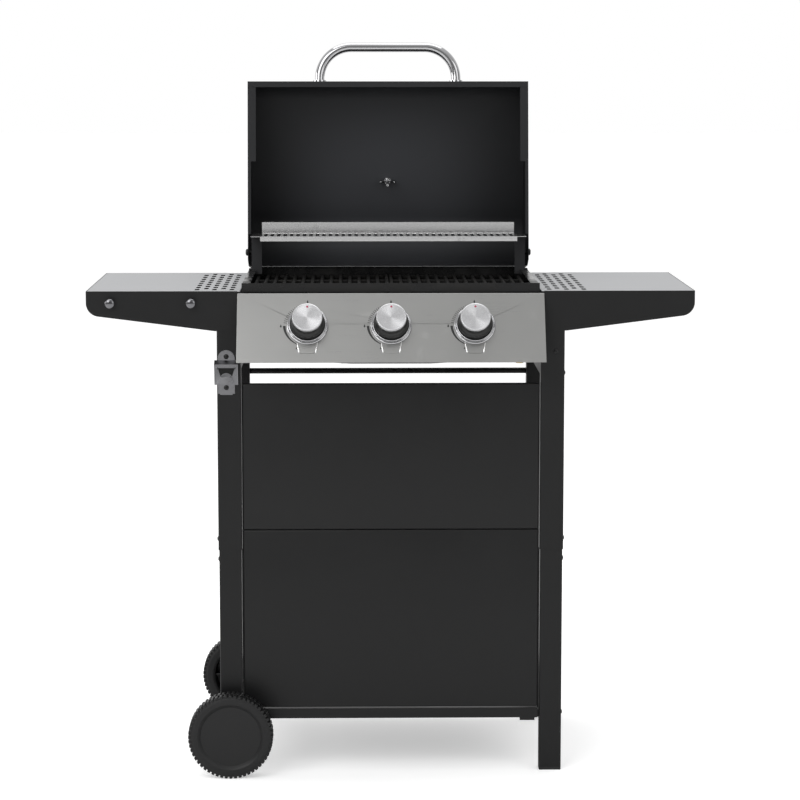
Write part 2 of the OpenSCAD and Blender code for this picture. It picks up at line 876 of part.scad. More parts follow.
module warming_rack() {
  color([0.72, 0.72, 0.73])
  placed() {
    difference() {
      box([-rack_half, rack_front, rack_z], [rack_half, rack_back, rack_z + sheet]);
      for (i = [-19 : 19]) {
        translate([i * 12.2, (rack_front + rack_back) / 2, rack_z - 1]) slot(6.6, 76, 4);
      }
    }
    box([-rack_half + 17, rack_back - sheet, rack_z], [rack_half - 17, rack_back, rack_z + 22]);
    box([-rack_half + 17, rack_front, rack_z - 8], [rack_half - 17, rack_front + sheet, rack_z + eps]);
  }
}

// ---------------------------------------------------------------- lid

// swings a piece drawn on the closed lid to its place at rest
module lid_pose() {
  translate([0, pivot_y, pivot_z]) rotate([-lid_open, 0, 0]) translate([0, -pivot_y, -pivot_z]) children();
}

// the closed lid's section in (y, z), drawn in by t
module lid_section(t) {
  a = lid_slope;
  fr = lid_front_r;
  rr = lid_rear_r;
  fc = [lid_front + fr, lid_knee - fr * tan((90 - a) / 2)];
  rc = [lid_back - rr, lid_peak - rr * tan((90 + a) / 2)];
  n = [-sin(a), cos(a)];
  polygon(concat(
    [[lid_front + t, lid_low - t], [lid_front + t, fc[1]]],
    [fc, fc + (fr - t) * n],
    [rc + (rr - t) * n, rc],
    [[lid_back - t, rc[1]], [lid_back - t, lid_low - t]]));
  polygon([[lid_front + t, lid_low - t], [lid_front + t, fc[1]], fc, rc,
    [lid_back - t, rc[1]], [lid_back - t, lid_low - t]]);
  translate(fc) circle(fr - t);
  translate(rc) circle(rr - t);
}

module lid_hood() {
  color([0.17, 0.17, 0.18])
  placed() lid_pose()
  difference() {
    union() {
      along_x(-lid_half + sheet, lid_half - sheet) {
        difference() {
          lid_section(0);
          lid_section(sheet);
          translate([lid_front + 60, lid_low - 5]) square([lid_back, lid_skirt - lid_low + 5]);
          translate([lid_front - 5, lid_low - 10]) square([lid_back, 10]);
        }
      }
      box([-lid_half + sheet, lid_front, lid_low], [lid_half - sheet, lid_front + 11, lid_low + sheet]);
    }
    translate([0, gauge_y, gauge_z]) rotate([lid_slope, 0, 0]) translate([0, 0, -8]) cylinder(r = 3.6, h = 16);
    for (s = [-1, 1]) {
      bar_y([s * handle_span / 2, lid_front - 5, handle_z], 3.1, 10);
    }
  }
}

// pressed end of the lid with its edge folded in
module lid_cap(s) {
  color([0.15, 0.15, 0.16])
  placed() lid_pose() sided(s)
  difference() {
    union() {
      along_x(lid_half - sheet, lid_half) intersection() {
        lid_section(0);
        polygon([[lid_front - 5, lid_low], [lid_back - 10, lid_low], [lid_back + 1, lid_skirt],
          [lid_back + 1, lid_peak + 60], [lid_front - 5, lid_peak + 60]]);
      }
      box([lid_half - 15.5, lid_front + 11.2, lid_low], [lid_half - sheet + eps, lid_front + 152, lid_low + sheet]);
      box([lid_half - 6, lid_front + 150, lid_low], [lid_half - sheet + eps, lid_front + 290, lid_low + sheet]);
    }
    bar_x([lid_half - 4, pivot_y, pivot_z], stem_r + 0.1, 8);
  }
}
module lid_cap_left() { lid_cap(-1); }
module lid_cap_right() { lid_cap(1); }

module lid_handle() {
  r = handle_d / 2;
  reach = handle_reach - r;
  leg = reach - handle_bend;
  straight = handle_span - 2 * handle_bend;
  color([0.82, 0.82, 0.83])
  placed() lid_pose() translate([0, lid_front, handle_z])
  difference() {
    union() {
      for (s = [-1, 1]) {
        translate([s * handle_span / 2, 0, 0]) rotate([90, 0, 0]) cylinder(r = r, h = leg);
      }
      translate([straight / 2, -leg, 0]) rotate([0, 0, -90]) {
        rotate_extrude(angle = 90) translate([handle_bend, 0]) circle(r);
      }
      translate([-straight / 2, -leg, 0]) rotate([0, 0, 180]) {
        rotate_extrude(angle = 90) translate([handle_bend, 0]) circle(r);
      }
      translate([-straight / 2, -reach, 0]) rotate([0, 90, 0]) cylinder(r = r, h = straight);
    }
    for (s = [-1, 1]) {
      translate([s * handle_span / 2, 1, 0]) rotate([90, 0, 0]) cylinder(r = 2.6, h = 14);
    }
  }
}

// collars at the handle's feet, with the screws that come through from inside
module handle_collars() {
  r = handle_d / 2;
  color([0.8, 0.8, 0.81])
  placed() lid_pose()
  for (s = [-1, 1]) {
    translate([s * handle_span / 2, lid_front, handle_z]) {
      difference() {
        bar_y([0, -5.5, 0], r + 3.6, 5.5);
        bar_y([0, -6.5, 0], r + 0.1, 8);
      }
      bar_y([0, -7, 0], 2.5, 7 + sheet + eps);
      bar_y([0, sheet, 0], 6.5, 2.4);
    }
  }
}

// local frame of the thermometer on the closed lid
module gauge_frame() {
  translate([0, gauge_y, gauge_z]) rotate([lid_slope, 0, 0]) children();
}

module thermometer() {
  color([0.8, 0.8, 0.81])
  placed() lid_pose() gauge_frame() {
    rotate_extrude() {
      polygon([[0, 0], [27, 0], [30, 2], [30, 7], [28.5, 8.5], [26.5, 8.5], [26.5, 5], [0, 5]]);
    }
    translate([0, 0, -9]) cylinder(r = 3.4, h = 9 + eps);
    translate([0, 0, -42]) cylinder(r = 2.2, h = 34);
    translate([-0.8, -2, 5 - eps]) cube([1.6, 22, 1]);
    translate([0, 0, 5 - eps]) cylinder(r = 3, h = 1.6);
  }
}

module wing_nut() {
  color([0.8, 0.8, 0.81])
  placed() lid_pose() gauge_frame()
  difference() {
    union() {
      translate([0, 0, -sheet - 7]) cylinder(r = 6.5, h = 7 - eps);
      for (s = [-1, 1]) {
        sided(s) translate([0, 1.2, -sheet]) rotate([90, 0, 0]) linear_extrude(2.4) {
          polygon([[4, -1.5], [9, -1.5], [15, -6], [16.5, -12], [14, -14.5], [10, -13], [4, -7]]);
        }
      }
    }
    translate([0, 0, -20]) cylinder(r = 3.45, h = 22);
  }
}

// ---------------------------------------------------------------- wheels

// a wheel with its outer face toward -Y, moulded hub and lugged tread
module wheel() {
  r = wheel_d / 2;
  y0 = -wheel_gap - wheel_w;
  color([0.07, 0.07, 0.07])
  translate([-post_x, 0, wheel_z])
  difference() {
    union() {
      difference() {
        translate([0, y0, 0]) rotate([-90, 0, 0]) rotate_extrude() {
          polygon([[hub_r, 0], [r - 2.5, 0], [r, 2.5], [r, wheel_w - 2.5], [r - 2.5, wheel_w],
            [hub_r, wheel_w]]);
        }
        for (i = [0 : lug_count - 1]) {
          rotate([0, i * 360 / lug_count, 0]) {
            box([-2.6, y0 - 1, r - 4.5], [2.6, y0 + wheel_w * 0.42, r + 2]);
            rotate([0, 180 / lug_count, 0]) {
              box([-2.6, y0 + wheel_w * 0.58, r - 4.5], [2.6, y0 + wheel_w + 1, r + 2]);
            }
          }
        }
      }
      translate([0, y0, 0]) rotate([-90, 0, 0]) rotate_extrude() {
        polygon([[0, 6], [hub_r - 3, 6], [hub_r - 1.5, 2], [hub_r + eps, 2],
          [hub_r + eps, wheel_w - 3], [hub_r - 3, wheel_w - 3], [hub_r - 3, 9.5], [13, 9.5],
          [11, 12], [11, wheel_w + wheel_gap - 0.6], [0, wheel_w + wheel_gap - 0.6]]);
      }
      for (i = [0 : 7]) {
        rotate([0, i * 45, 0]) box([9, y0 + 9, -1.5], [hub_r - 2, y0 + wheel_w - 8, 1.5]);
      }
    }
    bar_y([0, -axle_end - 1, 0], axle_d / 2 + 0.06, axle_end + 2);
  }
}

module wheel_front() {
  placed() wheel();
}

module wheel_rear() {
  placed() translate([0, frame_depth, 0]) mirror([0, 1, 0]) wheel();
}

// ---------------------------------------------------------------- nodes

upper_leg_front_left();
upper_leg_front_right();
upper_leg_rear_left();
upper_leg_rear_right();
lower_leg_front_left();
lower_leg_front_right();
lower_leg_rear_left();
lower_leg_rear_right();
foot_caps();
frame_screws();
side_rail_left();
side_rail_right();
rear_crossbar();
front_panel_upper();
front_panel_lower();
bottom_shelf();
axle();
shelf_top_left();
shelf_top_right();
shelf_frame_left();
shelf_frame_right();
tool_pegs();
bottle_opener();
firebox();
hinge_bracket_left();
hinge_bracket_right();
hinge_bolts();
burner_left();
burner_centre();
burner_right();
flame_tamers();
gas_manifold();
gas_inlet();
valve_bodies();
control_panel();
knob_bezels();
tray_runners();
grease_tray();
grate_left();
grate_right();
warming_rack();
lid_hood();
lid_cap_left();
lid_cap_right();
lid_handle();
handle_collars();
thermometer();
wing_nut();
valve_stem_left();
valve_stem_centre();
valve_stem_right();
knob_left();
knob_centre();
knob_right();
knob_face_left();
knob_face_centre();
knob_face_right();
wheel_front();
wheel_rear();
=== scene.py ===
import json
import math

import bmesh
import bpy
from mathutils import Matrix, Vector


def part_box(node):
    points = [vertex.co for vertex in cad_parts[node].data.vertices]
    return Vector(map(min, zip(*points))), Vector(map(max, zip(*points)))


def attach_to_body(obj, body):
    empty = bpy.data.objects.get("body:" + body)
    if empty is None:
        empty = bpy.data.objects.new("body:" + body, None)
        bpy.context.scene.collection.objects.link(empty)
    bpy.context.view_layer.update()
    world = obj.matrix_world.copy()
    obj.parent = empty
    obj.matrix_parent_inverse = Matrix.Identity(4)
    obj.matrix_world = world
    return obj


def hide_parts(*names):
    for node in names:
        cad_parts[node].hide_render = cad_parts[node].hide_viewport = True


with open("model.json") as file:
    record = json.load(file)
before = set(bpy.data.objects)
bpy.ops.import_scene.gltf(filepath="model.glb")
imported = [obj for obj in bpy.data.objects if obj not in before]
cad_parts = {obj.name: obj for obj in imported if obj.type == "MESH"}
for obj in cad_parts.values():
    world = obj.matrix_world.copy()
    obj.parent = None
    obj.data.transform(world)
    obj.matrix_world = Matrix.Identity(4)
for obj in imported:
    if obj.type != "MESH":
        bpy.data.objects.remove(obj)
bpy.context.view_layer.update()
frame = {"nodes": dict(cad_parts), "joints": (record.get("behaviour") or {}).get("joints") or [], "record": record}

bl_info = {
    "name": "Gas barbecue finish",
    "version": (1, 0, 0),
    "blender": (4, 5, 0),
    "location": "View3D > Sidebar > Barbecue",
    "description": "Finishes a three-burner gas barbecue on its packed frame",
    "category": "Add Mesh",
}

NODES = frame["nodes"]
JOINTS = {j["name"]: j for j in frame["joints"]}
BODY_OF = {node: body for body, nodes in frame["record"]["behaviour"]["bodies"].items() for node in nodes}
SLOT_OF = {part["node"]: part["material_slot"] for part in frame["record"]["subparts"]}
SIDES = ("left", "centre", "right")
MM = 0.001
# how much paler the middle of the lid's paint is made: a painted pool of light, darker toward the hood's edges
LID_PAINTED_LIGHT = 3.0
# the floor's own glow, which only the camera sees
FLOOR_GLOW = 0.42
# the main camera: place in metres, the distance being from the front legs, and angles in radians
CAMERA_X = -0.0651
CAMERA_DISTANCE = 4.6929
CAMERA_HEIGHT = 1.2869
CAMERA_LENS = 119.53
CAMERA_DOWN = 0.129
CAMERA_TURN = -0.0173
MADE = {}


# ---------------------------------------------------------------- settings

class FinishColours(bpy.types.PropertyGroup):
    """Colours of the barbecue's finishes"""

    coat: bpy.props.FloatVectorProperty(
        name="Frame coat", description="Powder coat of the legs, aprons and panels",
        subtype="COLOR", size=3, min=0, max=1, default=(0.0070, 0.0071, 0.0073))
    lid: bpy.props.FloatVectorProperty(
        name="Lid", description="Paint of the lid",
        subtype="COLOR", size=3, min=0, max=1, default=(0.0125, 0.0130, 0.0145))
    shelf: bpy.props.FloatVectorProperty(
        name="Shelf tops", description="Light silver coat of the side shelves",
        subtype="COLOR", size=3, min=0, max=1, default=(0.34, 0.345, 0.355))
    steel: bpy.props.FloatVectorProperty(
        name="Panel steel", description="Brushed steel of the control panel",
        subtype="COLOR", size=3, min=0, max=1, default=(0.355, 0.355, 0.348))
    chrome: bpy.props.FloatVectorProperty(
        name="Chrome", description="Chrome of the handle, bezels and pegs",
        subtype="COLOR", size=3, min=0, max=1, default=(0.52, 0.52, 0.53))
    mark: bpy.props.FloatVectorProperty(
        name="Pointer", description="Inlaid mark on a knob's face",
        subtype="COLOR", size=3, min=0, max=1, default=(0.36, 0.03, 0.08))
    floor: bpy.props.FloatVectorProperty(
        name="Floor", description="Colour of the plain floor",
        subtype="COLOR", size=3, min=0, max=1, default=(0.86, 0.86, 0.86))


class FinishSizes(bpy.types.PropertyGroup):
    """Sizes of the detail that is added to the frame"""

    edge: bpy.props.FloatProperty(
        name="Sheet edge", description="Rounding along the edges of thin sheet",
        unit="LENGTH", min=0.0001, max=0.001, default=0.0005)
    bend: bpy.props.FloatProperty(
        name="Panel bend", description="Outer radius of a folded front panel's edges",
        unit="LENGTH", min=0.001, max=0.006, default=0.0028)
    knob_ribs: bpy.props.IntProperty(
        name="Knob ribs", description="Grip ribs round one knob", min=24, max=90, default=60)
    tread_lugs: bpy.props.IntProperty(
        name="Tread lugs", description="Lugs in one row of a wheel's tread", min=20, max=72, default=56)
    screw_recess: bpy.props.FloatProperty(
        name="Screw recess", description="Width of the cross in a screw head",
        unit="LENGTH", min=0.0004, max=0.002, default=0.0011)
    dial_ticks: bpy.props.IntProperty(
        name="Dial ticks", description="Ticks on the thermometer's dial", min=8, max=40, default=29)
    dial_lean: bpy.props.FloatProperty(
        name="Dial lean", description="How far the thermometer looks up while the lid is open",
        subtype="ANGLE", min=0, max=1.0, default=math.radians(11.7))


def colours():
    return bpy.context.scene.bbq_colours


def sizes():
    return bpy.context.scene.bbq_sizes


# ---------------------------------------------------------------- shading

class Surface:
    """One material under construction: a shader with chains of texture nodes."""

    def __init__(self, name, colour, metal=0.0, rough=0.5):
        self.material = bpy.data.materials.new(name)
        self.material.use_nodes = True
        self.tree = self.material.node_tree
        self.shader = self.tree.nodes["Principled BSDF"]
        self.shader.inputs["Metallic"].default_value = metal
        self.base = (*colour, 1)
        self.colour = None
        self.rough = rough
        self.rough_terms = []
        self.height = None

    def node(self, kind, **settings):
        node = self.tree.nodes.new(kind)
        for key, value in settings.items():
            setattr(node, key, value)
        return node

    def link(self, a, b):
        self.tree.links.new(a, b)

    def feed_colour(self, socket):
        """Puts the colour so far on a node's socket."""
        if self.colour is None:
            socket.default_value = self.base if len(socket.default_value) == 4 else self.base[:3]
        else:
            self.link(self.colour, socket)

    def place(self, size, centre=(0, 0, 0), turn=(0, 0, 0), source="Object"):
        """Coordinates counted in grains of the given size."""
        tex = self.node("ShaderNodeTexCoord")
        mapping = self.node("ShaderNodeMapping", vector_type="TEXTURE")
        mapping.inputs["Location"].default_value = centre
        mapping.inputs["Rotation"].default_value = turn
        mapping.inputs["Scale"].default_value = size if hasattr(size, "__len__") else (size,) * 3
        self.link(tex.outputs[source], mapping.inputs["Vector"])
        return mapping.outputs[0]

    def noise(self, size, detail=3.0, rough=0.5, source="Object"):
        node = self.node("ShaderNodeTexNoise")
        node.inputs["Scale"].default_value = 1.0
        node.inputs["Detail"].default_value = detail
        node.inputs["Roughness"].default_value = rough
        self.link(self.place(size, source=source), node.inputs["Vector"])
        return node.outputs["Fac"]

    def between(self, value, low, high, out_low=0.0, out_high=1.0):
        node = self.node("ShaderNodeMapRange", interpolation_type="SMOOTHSTEP")
        for socket, number in zip(("From Min", "From Max", "To Min", "To Max"),
                                  (low, high, out_low, out_high)):
            node.inputs[socket].default_value = number
        self.link(value, node.inputs["Value"])
        return node.outputs["Result"]

    def tint(self, factor, colour, blend="MIX"):
        """Blends a colour over what is there, where the factor is high."""
        mix = self.node("ShaderNodeMix", data_type="RGBA", blend_type=blend)
        self.link(factor, mix.inputs["Factor"])
        self.feed_colour(mix.inputs["A"])
        mix.inputs["B"].default_value = (*colour, 1)
        self.colour = mix.outputs["Result"]
        return self

    def shade(self, factor, low, high):
        """Darkens and lightens the colour between two strengths."""
        scale = self.node("ShaderNodeMapRange")
        scale.inputs["To Min"].default_value = low
        scale.inputs["To Max"].default_value = high
        self.link(factor, scale.inputs["Value"])
        mix = self.node("ShaderNodeVectorMath", operation="SCALE")
        self.feed_colour(mix.inputs[0])
        self.link(scale.outputs["Result"], mix.inputs["Scale"])
        self.colour = mix.outputs["Vector"]
        return self

    def roughen(self, factor, amount):
        self.rough_terms.append((factor, amount))
        return self

    def raise_by(self, factor, height):
        """Adds a height, in metres, to the bump."""
        node = self.node("ShaderNodeMath", operation="MULTIPLY")
        node.inputs[1].default_value = height
        self.link(factor, node.inputs[0])
        if self.height is None:
            self.height = node.outputs[0]
        else:
            total = self.node("ShaderNodeMath", operation="ADD")
            self.link(self.height, total.inputs[0])
            self.link(node.outputs[0], total.inputs[1])
            self.height = total.outputs[0]
        return self

    def done(self, **inputs):
        self.feed_colour(self.shader.inputs["Base Color"])
        rough = self.rough - sum(amount / 2 for _, amount in self.rough_terms)
        if self.rough_terms:
            value = None
            for factor, amount in self.rough_terms:
                node = self.node("ShaderNodeMath", operation="MULTIPLY_ADD")
                node.inputs[1].default_value = amount
                self.link(factor, node.inputs[0])
                if value is None:
                    node.inputs[2].default_value = rough
                else:
                    self.link(value, node.inputs[2])
                value = node.outputs[0]
            self.link(value, self.shader.inputs["Roughness"])
        else:
            self.shader.inputs["Roughness"].default_value = self.rough
        if self.height is not None:
            bump = self.node("ShaderNodeBump")
            bump.inputs["Strength"].default_value = 1.0
            bump.inputs["Distance"].default_value = 1.0
            self.link(self.height, bump.inputs["Height"])
            self.link(bump.outputs["Normal"], self.shader.inputs["Normal"])
        for key, value in inputs.items():
            self.shader.inputs[key.replace("_", " ")].default_value = value
        return self.material


def powder_coat(name, colour, rough=0.42):
    s = Surface(name, colour, rough=rough)
    cloud = s.noise(0.09, detail=4)
    peel = s.noise(0.0011, detail=2)
    s.shade(cloud, 0.82, 1.22).roughen(cloud, 0.10).roughen(peel, 0.08)
    scuffs = s.between(s.noise((0.03, 0.03, 0.004), detail=6, rough=0.7), 0.68, 0.86)
    s.tint(scuffs, [0.6 * c + 0.03 for c in colour])
    s.raise_by(peel, 0.00007)
    return s.done(Specular_IOR_Level=0.32)


def lid_paint():
    """Lid paint with a painted pool of light over the middle of the hood, darker toward its edges."""
    s = Surface("lid_paint", colours().lid, rough=0.58)
    cloud = s.noise(0.16, detail=3)
    peel = s.noise(0.0014, detail=2)
    low, high = (Vector(c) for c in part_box("lid_hood"))
    reach = (high - low) * 0.5
    # painted light: a spherical gradient tints the middle of the hood paler than its rim
    middle = s.node("ShaderNodeTexGradient", gradient_type="SPHERICAL")
    light_pool_centre = Vector(((low.x + high.x) / 2, (low.y + high.y) / 2, low.z + 0.5 * reach.z))
    s.link(s.place((reach.x * 1.1, 10, reach.z * 1.7), centre=light_pool_centre), middle.inputs["Vector"])
    painted_light_pool = s.between(middle.outputs["Fac"], 0.02, 0.72)
    s.shade(cloud, 0.88, 1.14).tint(painted_light_pool, [c * LID_PAINTED_LIGHT for c in colours().lid])
    s.roughen(cloud, 0.12).roughen(peel, 0.08).raise_by(peel, 0.00008)
    return s.done(Specular_IOR_Level=0.32)


def silver_coat():
    s = Surface("silver_coat", colours().shelf, metal=0.35, rough=0.46)
    flake = s.noise(0.0005, detail=1)
    cloud = s.noise(0.12, detail=3)
    s.shade(flake, 0.90, 1.12).shade(cloud, 0.95, 1.05)
    s.roughen(flake, 0.12).roughen(cloud, 0.06).raise_by(s.noise(0.0012), 0.00005)
    return s.done()


def brushed_steel(name, colour, along=(0.35, 0.0006, 0.0006), rough=0.34, marks=0.25):
    s = Surface(name, colour, metal=1.0, rough=rough)
    lines = s.noise(along, detail=4, rough=0.65)
    fine = s.noise([a * 0.4 for a in along], detail=2)
    cloud = s.noise(0.11, detail=3)
    s.shade(lines, 0.97, 1.03).shade(cloud, 0.96, 1.04)
    s.roughen(lines, 0.07).roughen(cloud, 0.05)
    prints = s.between(s.noise(0.028, detail=5, rough=0.6), 0.58, 0.78)
    s.roughen(prints, marks * 0.4)
    s.raise_by(lines, 0.000007).raise_by(fine, 0.000004)
    return s.done()


def bright_plate(name, colour, rough=0.10):
    s = Surface(name, colour, metal=1.0, rough=rough)
    haze = s.noise(0.02, detail=5, rough=0.6)
    s.shade(haze, 0.94, 1.04).roughen(haze, 0.10)
    s.raise_by(s.noise(0.006, detail=2), 0.000010)
    return s.done()


def spun_steel(name, centre, turn):
    """Steel turned on a lathe: fine rings about the knob's own axis."""
    s = Surface(name, (0.60, 0.60, 0.61), metal=1.0, rough=0.30)
    rings = s.node("ShaderNodeTexWave", wave_type="RINGS", rings_direction="Z")
    rings.inputs["Scale"].default_value = 1.0
    rings.inputs["Distortion"].default_value = 1.2
    rings.inputs["Detail"].default_value = 3.0
    s.link(s.place(0.0035, centre=centre, turn=turn), rings.inputs["Vector"])
    s.shade(rings.outputs["Fac"], 0.92, 1.06).roughen(rings.outputs["Fac"], 0.08)
    haze = s.noise(0.012, detail=4)
    s.shade(haze, 0.95, 1.05).roughen(haze, 0.08).raise_by(rings.outputs["Fac"], 0.000006)
    tangent = s.node("ShaderNodeTangent", direction_type="UV_MAP", uv_map="round")
    s.link(tangent.outputs[0], s.shader.inputs["Tangent"])
    return s.done(Anisotropic=0.75)


def moulded_plastic(name, colour, rough=0.45, grain=0.0009):
    s = Surface(name, colour, rough=rough)
    texture = s.noise(grain, detail=2)
    cloud = s.noise(0.03, detail=4)
    s.shade(cloud, 0.8, 1.3).roughen(cloud, 0.12).roughen(texture, 0.08).raise_by(texture, 0.00006)
    return s.done(Specular_IOR_Level=0.45)


def cast_iron():
    s = Surface("cast_iron", (0.0065, 0.0062, 0.0060), rough=0.62)
    sand = s.noise(0.0016, detail=5, rough=0.6)
    oil = s.between(s.noise(0.035, detail=4), 0.42, 0.66)
    s.shade(sand, 0.7, 1.4).tint(oil, (0.0075, 0.0065, 0.0055)).roughen(oil, -0.18).roughen(sand, 0.12)
    s.raise_by(sand, 0.00035)
    return s.done(Specular_IOR_Level=0.2)


def enamel():
    s = Surface("black_enamel", (0.0075, 0.0075, 0.0078), rough=0.34)
    wave = s.noise(0.012, detail=2)
    specks = s.between(s.noise(0.0022, detail=1), 0.70, 0.76)
    soot = s.between(s.noise(0.08, detail=5, rough=0.65), 0.42, 0.68)
    s.tint(specks, (0.03, 0.03, 0.03)).tint(soot, (0.010, 0.0095, 0.009)).roughen(soot, 0.25)
    s.raise_by(wave, 0.00010)
    return s.done(Specular_IOR_Level=0.4)


def heat_steel(name, colour, rough=0.45):
    """Sheet steel that has been hot: straw and blue bands over dull grey."""
    s = Surface(name, colour, metal=1.0, rough=rough)
    band = s.noise((0.09, 0.16, 0.06), detail=4, rough=0.6)
    s.tint(s.between(band, 0.46, 0.58, 0, 0.5), (0.38, 0.29, 0.17))
    s.tint(s.between(band, 0.60, 0.72, 0, 0.5), (0.17, 0.19, 0.27))
    grain = s.noise((0.02, 0.0009, 0.0009), detail=3)
    s.shade(grain, 0.85, 1.12).roughen(grain, 0.12).raise_by(grain, 0.00003)
    return s.done()


def zinc_plate(name, colour=(0.50, 0.51, 0.53), rough=0.38):
    s = Surface(name, colour, metal=1.0, rough=rough)
    spangle = s.noise(0.006, detail=3, rough=0.7)
    stain = s.noise(0.04, detail=4)
    s.shade(spangle, 0.84, 1.14).shade(stain, 0.9, 1.08)
    s.roughen(spangle, 0.18).raise_by(spangle, 0.00002)
    return s.done()


def cast_brass():
    s = Surface("gas_brass", (0.58, 0.42, 0.17), metal=1.0, rough=0.34)
    tarnish = s.noise(0.009, detail=5, rough=0.6)
    turned = s.noise((0.0006, 0.0006, 0.0006), detail=2)
    s.tint(s.between(tarnish, 0.5, 0.7, 0, 0.6), (0.34, 0.22, 0.09))
    s.roughen(tarnish, 0.2).raise_by(turned, 0.00002)
    return s.done()


def ink(name, colour, rough=0.5):
    s = Surface(name, colour, rough=rough)
    wear = s.noise(0.0012, detail=4)
    s.shade(wear, 0.8, 1.25).roughen(wear, 0.15)
    return s.done()


def dial_glass():
    s = Surface("dial_glass", (0.95, 0.95, 0.95), rough=0.04)
    s.roughen(s.noise(0.01, detail=3), 0.03)
    return s.done(Transmission_Weight=1.0, IOR=1.45)


def slot_materials():
    """One material for each slot of the record, made once."""
    return {
        "black_coat": powder_coat("black_coat", colours().coat),
        "charcoal_lid": lid_paint(),
        "silver_coat": silver_coat(),
        "panel_steel": brushed_steel("panel_steel", colours().steel),
        "bright_chrome": bright_plate("bright_chrome", colours().chrome),
        "spun_face": brushed_steel("spun_face", (0.60, 0.60, 0.61), along=(0.004, 0.004, 0.004)),
        "black_knob": moulded_plastic("black_knob", (0.012, 0.012, 0.012), rough=0.36),
        "cast_grate": cast_iron(),
        "tamer_steel": heat_steel("tamer_steel", (0.30, 0.28, 0.26)),
        "burner_steel": heat_steel("burner_steel", (0.46, 0.45, 0.44), rough=0.36),
        "rack_steel": brushed_steel("rack_steel", (0.80, 0.80, 0.80), along=(0.05, 0.002, 0.002), rough=0.30,
                                    marks=0.6),
        "zinc_steel": zinc_plate("zinc_steel"),
        "gas_brass": cast_brass(),
        "enamel": enamel(),
        "stamped_steel": zinc_plate("stamped_steel", (0.25, 0.25, 0.26), rough=0.30),
        "bracket_steel": powder_coat("bracket_steel", (0.030, 0.030, 0.032), rough=0.5),
        "foot_plastic": moulded_plastic("foot_plastic", (0.012, 0.012, 0.012)),
        "wheel_plastic": moulded_plastic("wheel_plastic", (0.0060, 0.0060, 0.0063), rough=0.5, grain=0.0013),
        "black_bolt": powder_coat("black_bolt", (0.012, 0.012, 0.012), rough=0.32),
    }


# ---------------------------------------------------------------- mesh work

def new_object(name, mesh, material=None):
    obj = bpy.data.objects.new(name, mesh)
    bpy.context.scene.collection.objects.link(obj)
    if material is not None:
        mesh.materials.clear()
        mesh.materials.append(material)
    return obj


def smooth_by_angle(mesh, degrees=34):
    """Smooth faces with sharp edges where the surface turns quickly."""
    bm = bmesh.new()
    bm.from_mesh(mesh)
    limit = math.radians(degrees)
    for face in bm.faces:
        face.smooth = True
    for edge in bm.edges:
        edge.smooth = len(edge.link_faces) == 2 and edge.calc_face_angle(0) < limit
    bm.to_mesh(mesh)
    bm.free()


def baked(obj):
    """Turns an object's modifiers into a plain mesh."""
    graph = bpy.context.evaluated_depsgraph_get()
    graph.update()
    mesh = bpy.data.meshes.new_from_object(obj.evaluated_get(graph))
    obj.modifiers.clear()
    old = obj.data
    obj.data = mesh
    mesh.name = obj.name
    bpy.data.meshes.remove(old)
    return obj


def merged_bmesh(node, flat=False):
    """A CAD node's surface with its loose triangles joined, and if flat, dissolved into whole faces."""
    source = NODES[node].data
    bm = bmesh.new()
    verts = [bm.verts.new(v.co) for v in source.vertices]
    for poly in source.polygons:
        try:
            bm.faces.new([verts[i] for i in poly.vertices])
        except ValueError:
            continue
    bmesh.ops.remove_doubles(bm, verts=bm.verts, dist=2e-6)
    bmesh.ops.dissolve_degenerate(bm, edges=bm.edges, dist=1e-6)
    if flat:
        bmesh.ops.dissolve_limit(bm, angle_limit=math.radians(0.6), verts=bm.verts, edges=bm.edges)
    return bm


def level_normals(obj):
    """Lets the large flat faces keep their own normals beside rounded edges."""
    weigh = obj.modifiers.new("normals", "WEIGHTED_NORMAL")
    weigh.mode = "FACE_AREA"
    weigh.weight = 90
    weigh.keep_sharp = True
    return baked(obj)


def softened(node, width=0.0, segments=2, angle=42, flat=False):
    """A copy of a CAD node with its sharp edges rounded, standing for the node."""
    bm = merged_bmesh(node, flat)
    mesh = bpy.data.meshes.new(node + "_finish")
    bm.to_mesh(mesh)
    bm.free()
    smooth_by_angle(mesh, angle)
    obj = new_object(node + "_finish", mesh, MADE[SLOT_OF[node]])
    if width > 0:
        bevel = obj.modifiers.new("edge", "BEVEL")
        bevel.limit_method = "ANGLE"
        bevel.angle_limit = math.radians(angle)
        bevel.width = width
        bevel.segments = segments
        bevel.use_clamp_overlap = True
        bevel.miter_outer = "MITER_ARC"
        baked(obj)
        smooth_by_angle(obj.data, 50)
    level_normals(obj)
    attach(obj, BODY_OF[node], SLOT_OF[node], node)
    return obj


def attach(obj, body, slot, *nodes):
    """Gives a finished piece its body and hides the nodes it stands for; the slot argument is not used."""
    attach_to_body(obj, body)
    if nodes:
        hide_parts(*nodes)
    return obj


def corner_arcs(points, radius, steps=4):
    """An open outline with each inner corner turned into an arc."""
    out = [Vector(points[0])]
    for before, at, after in zip(points, points[1:], points[2:]):
        at, a, b = Vector(at), Vector(before), Vector(after)
        u, v = (a - at).normalized(), (b - at).normalized()
        turn = math.pi - u.angle(v)
        if turn < 0.05:
            out.append(at)
            continue
        r = min(radius, 0.45 * min((a - at).length, (b - at).length) / math.tan(turn / 2))
        reach = r * math.tan(turn / 2)
        centre = at + (u + v).normalized() * (r / math.cos(turn / 2))
        start, end = at + u * reach - centre, at + v * reach - centre
        for k in range(steps + 1):
            out.append(centre + start.slerp(end, k / steps, start)
                       if start.angle(end, 0) > 1e-4 else centre + start)
    out.append(Vector(points[-1]))
    return out


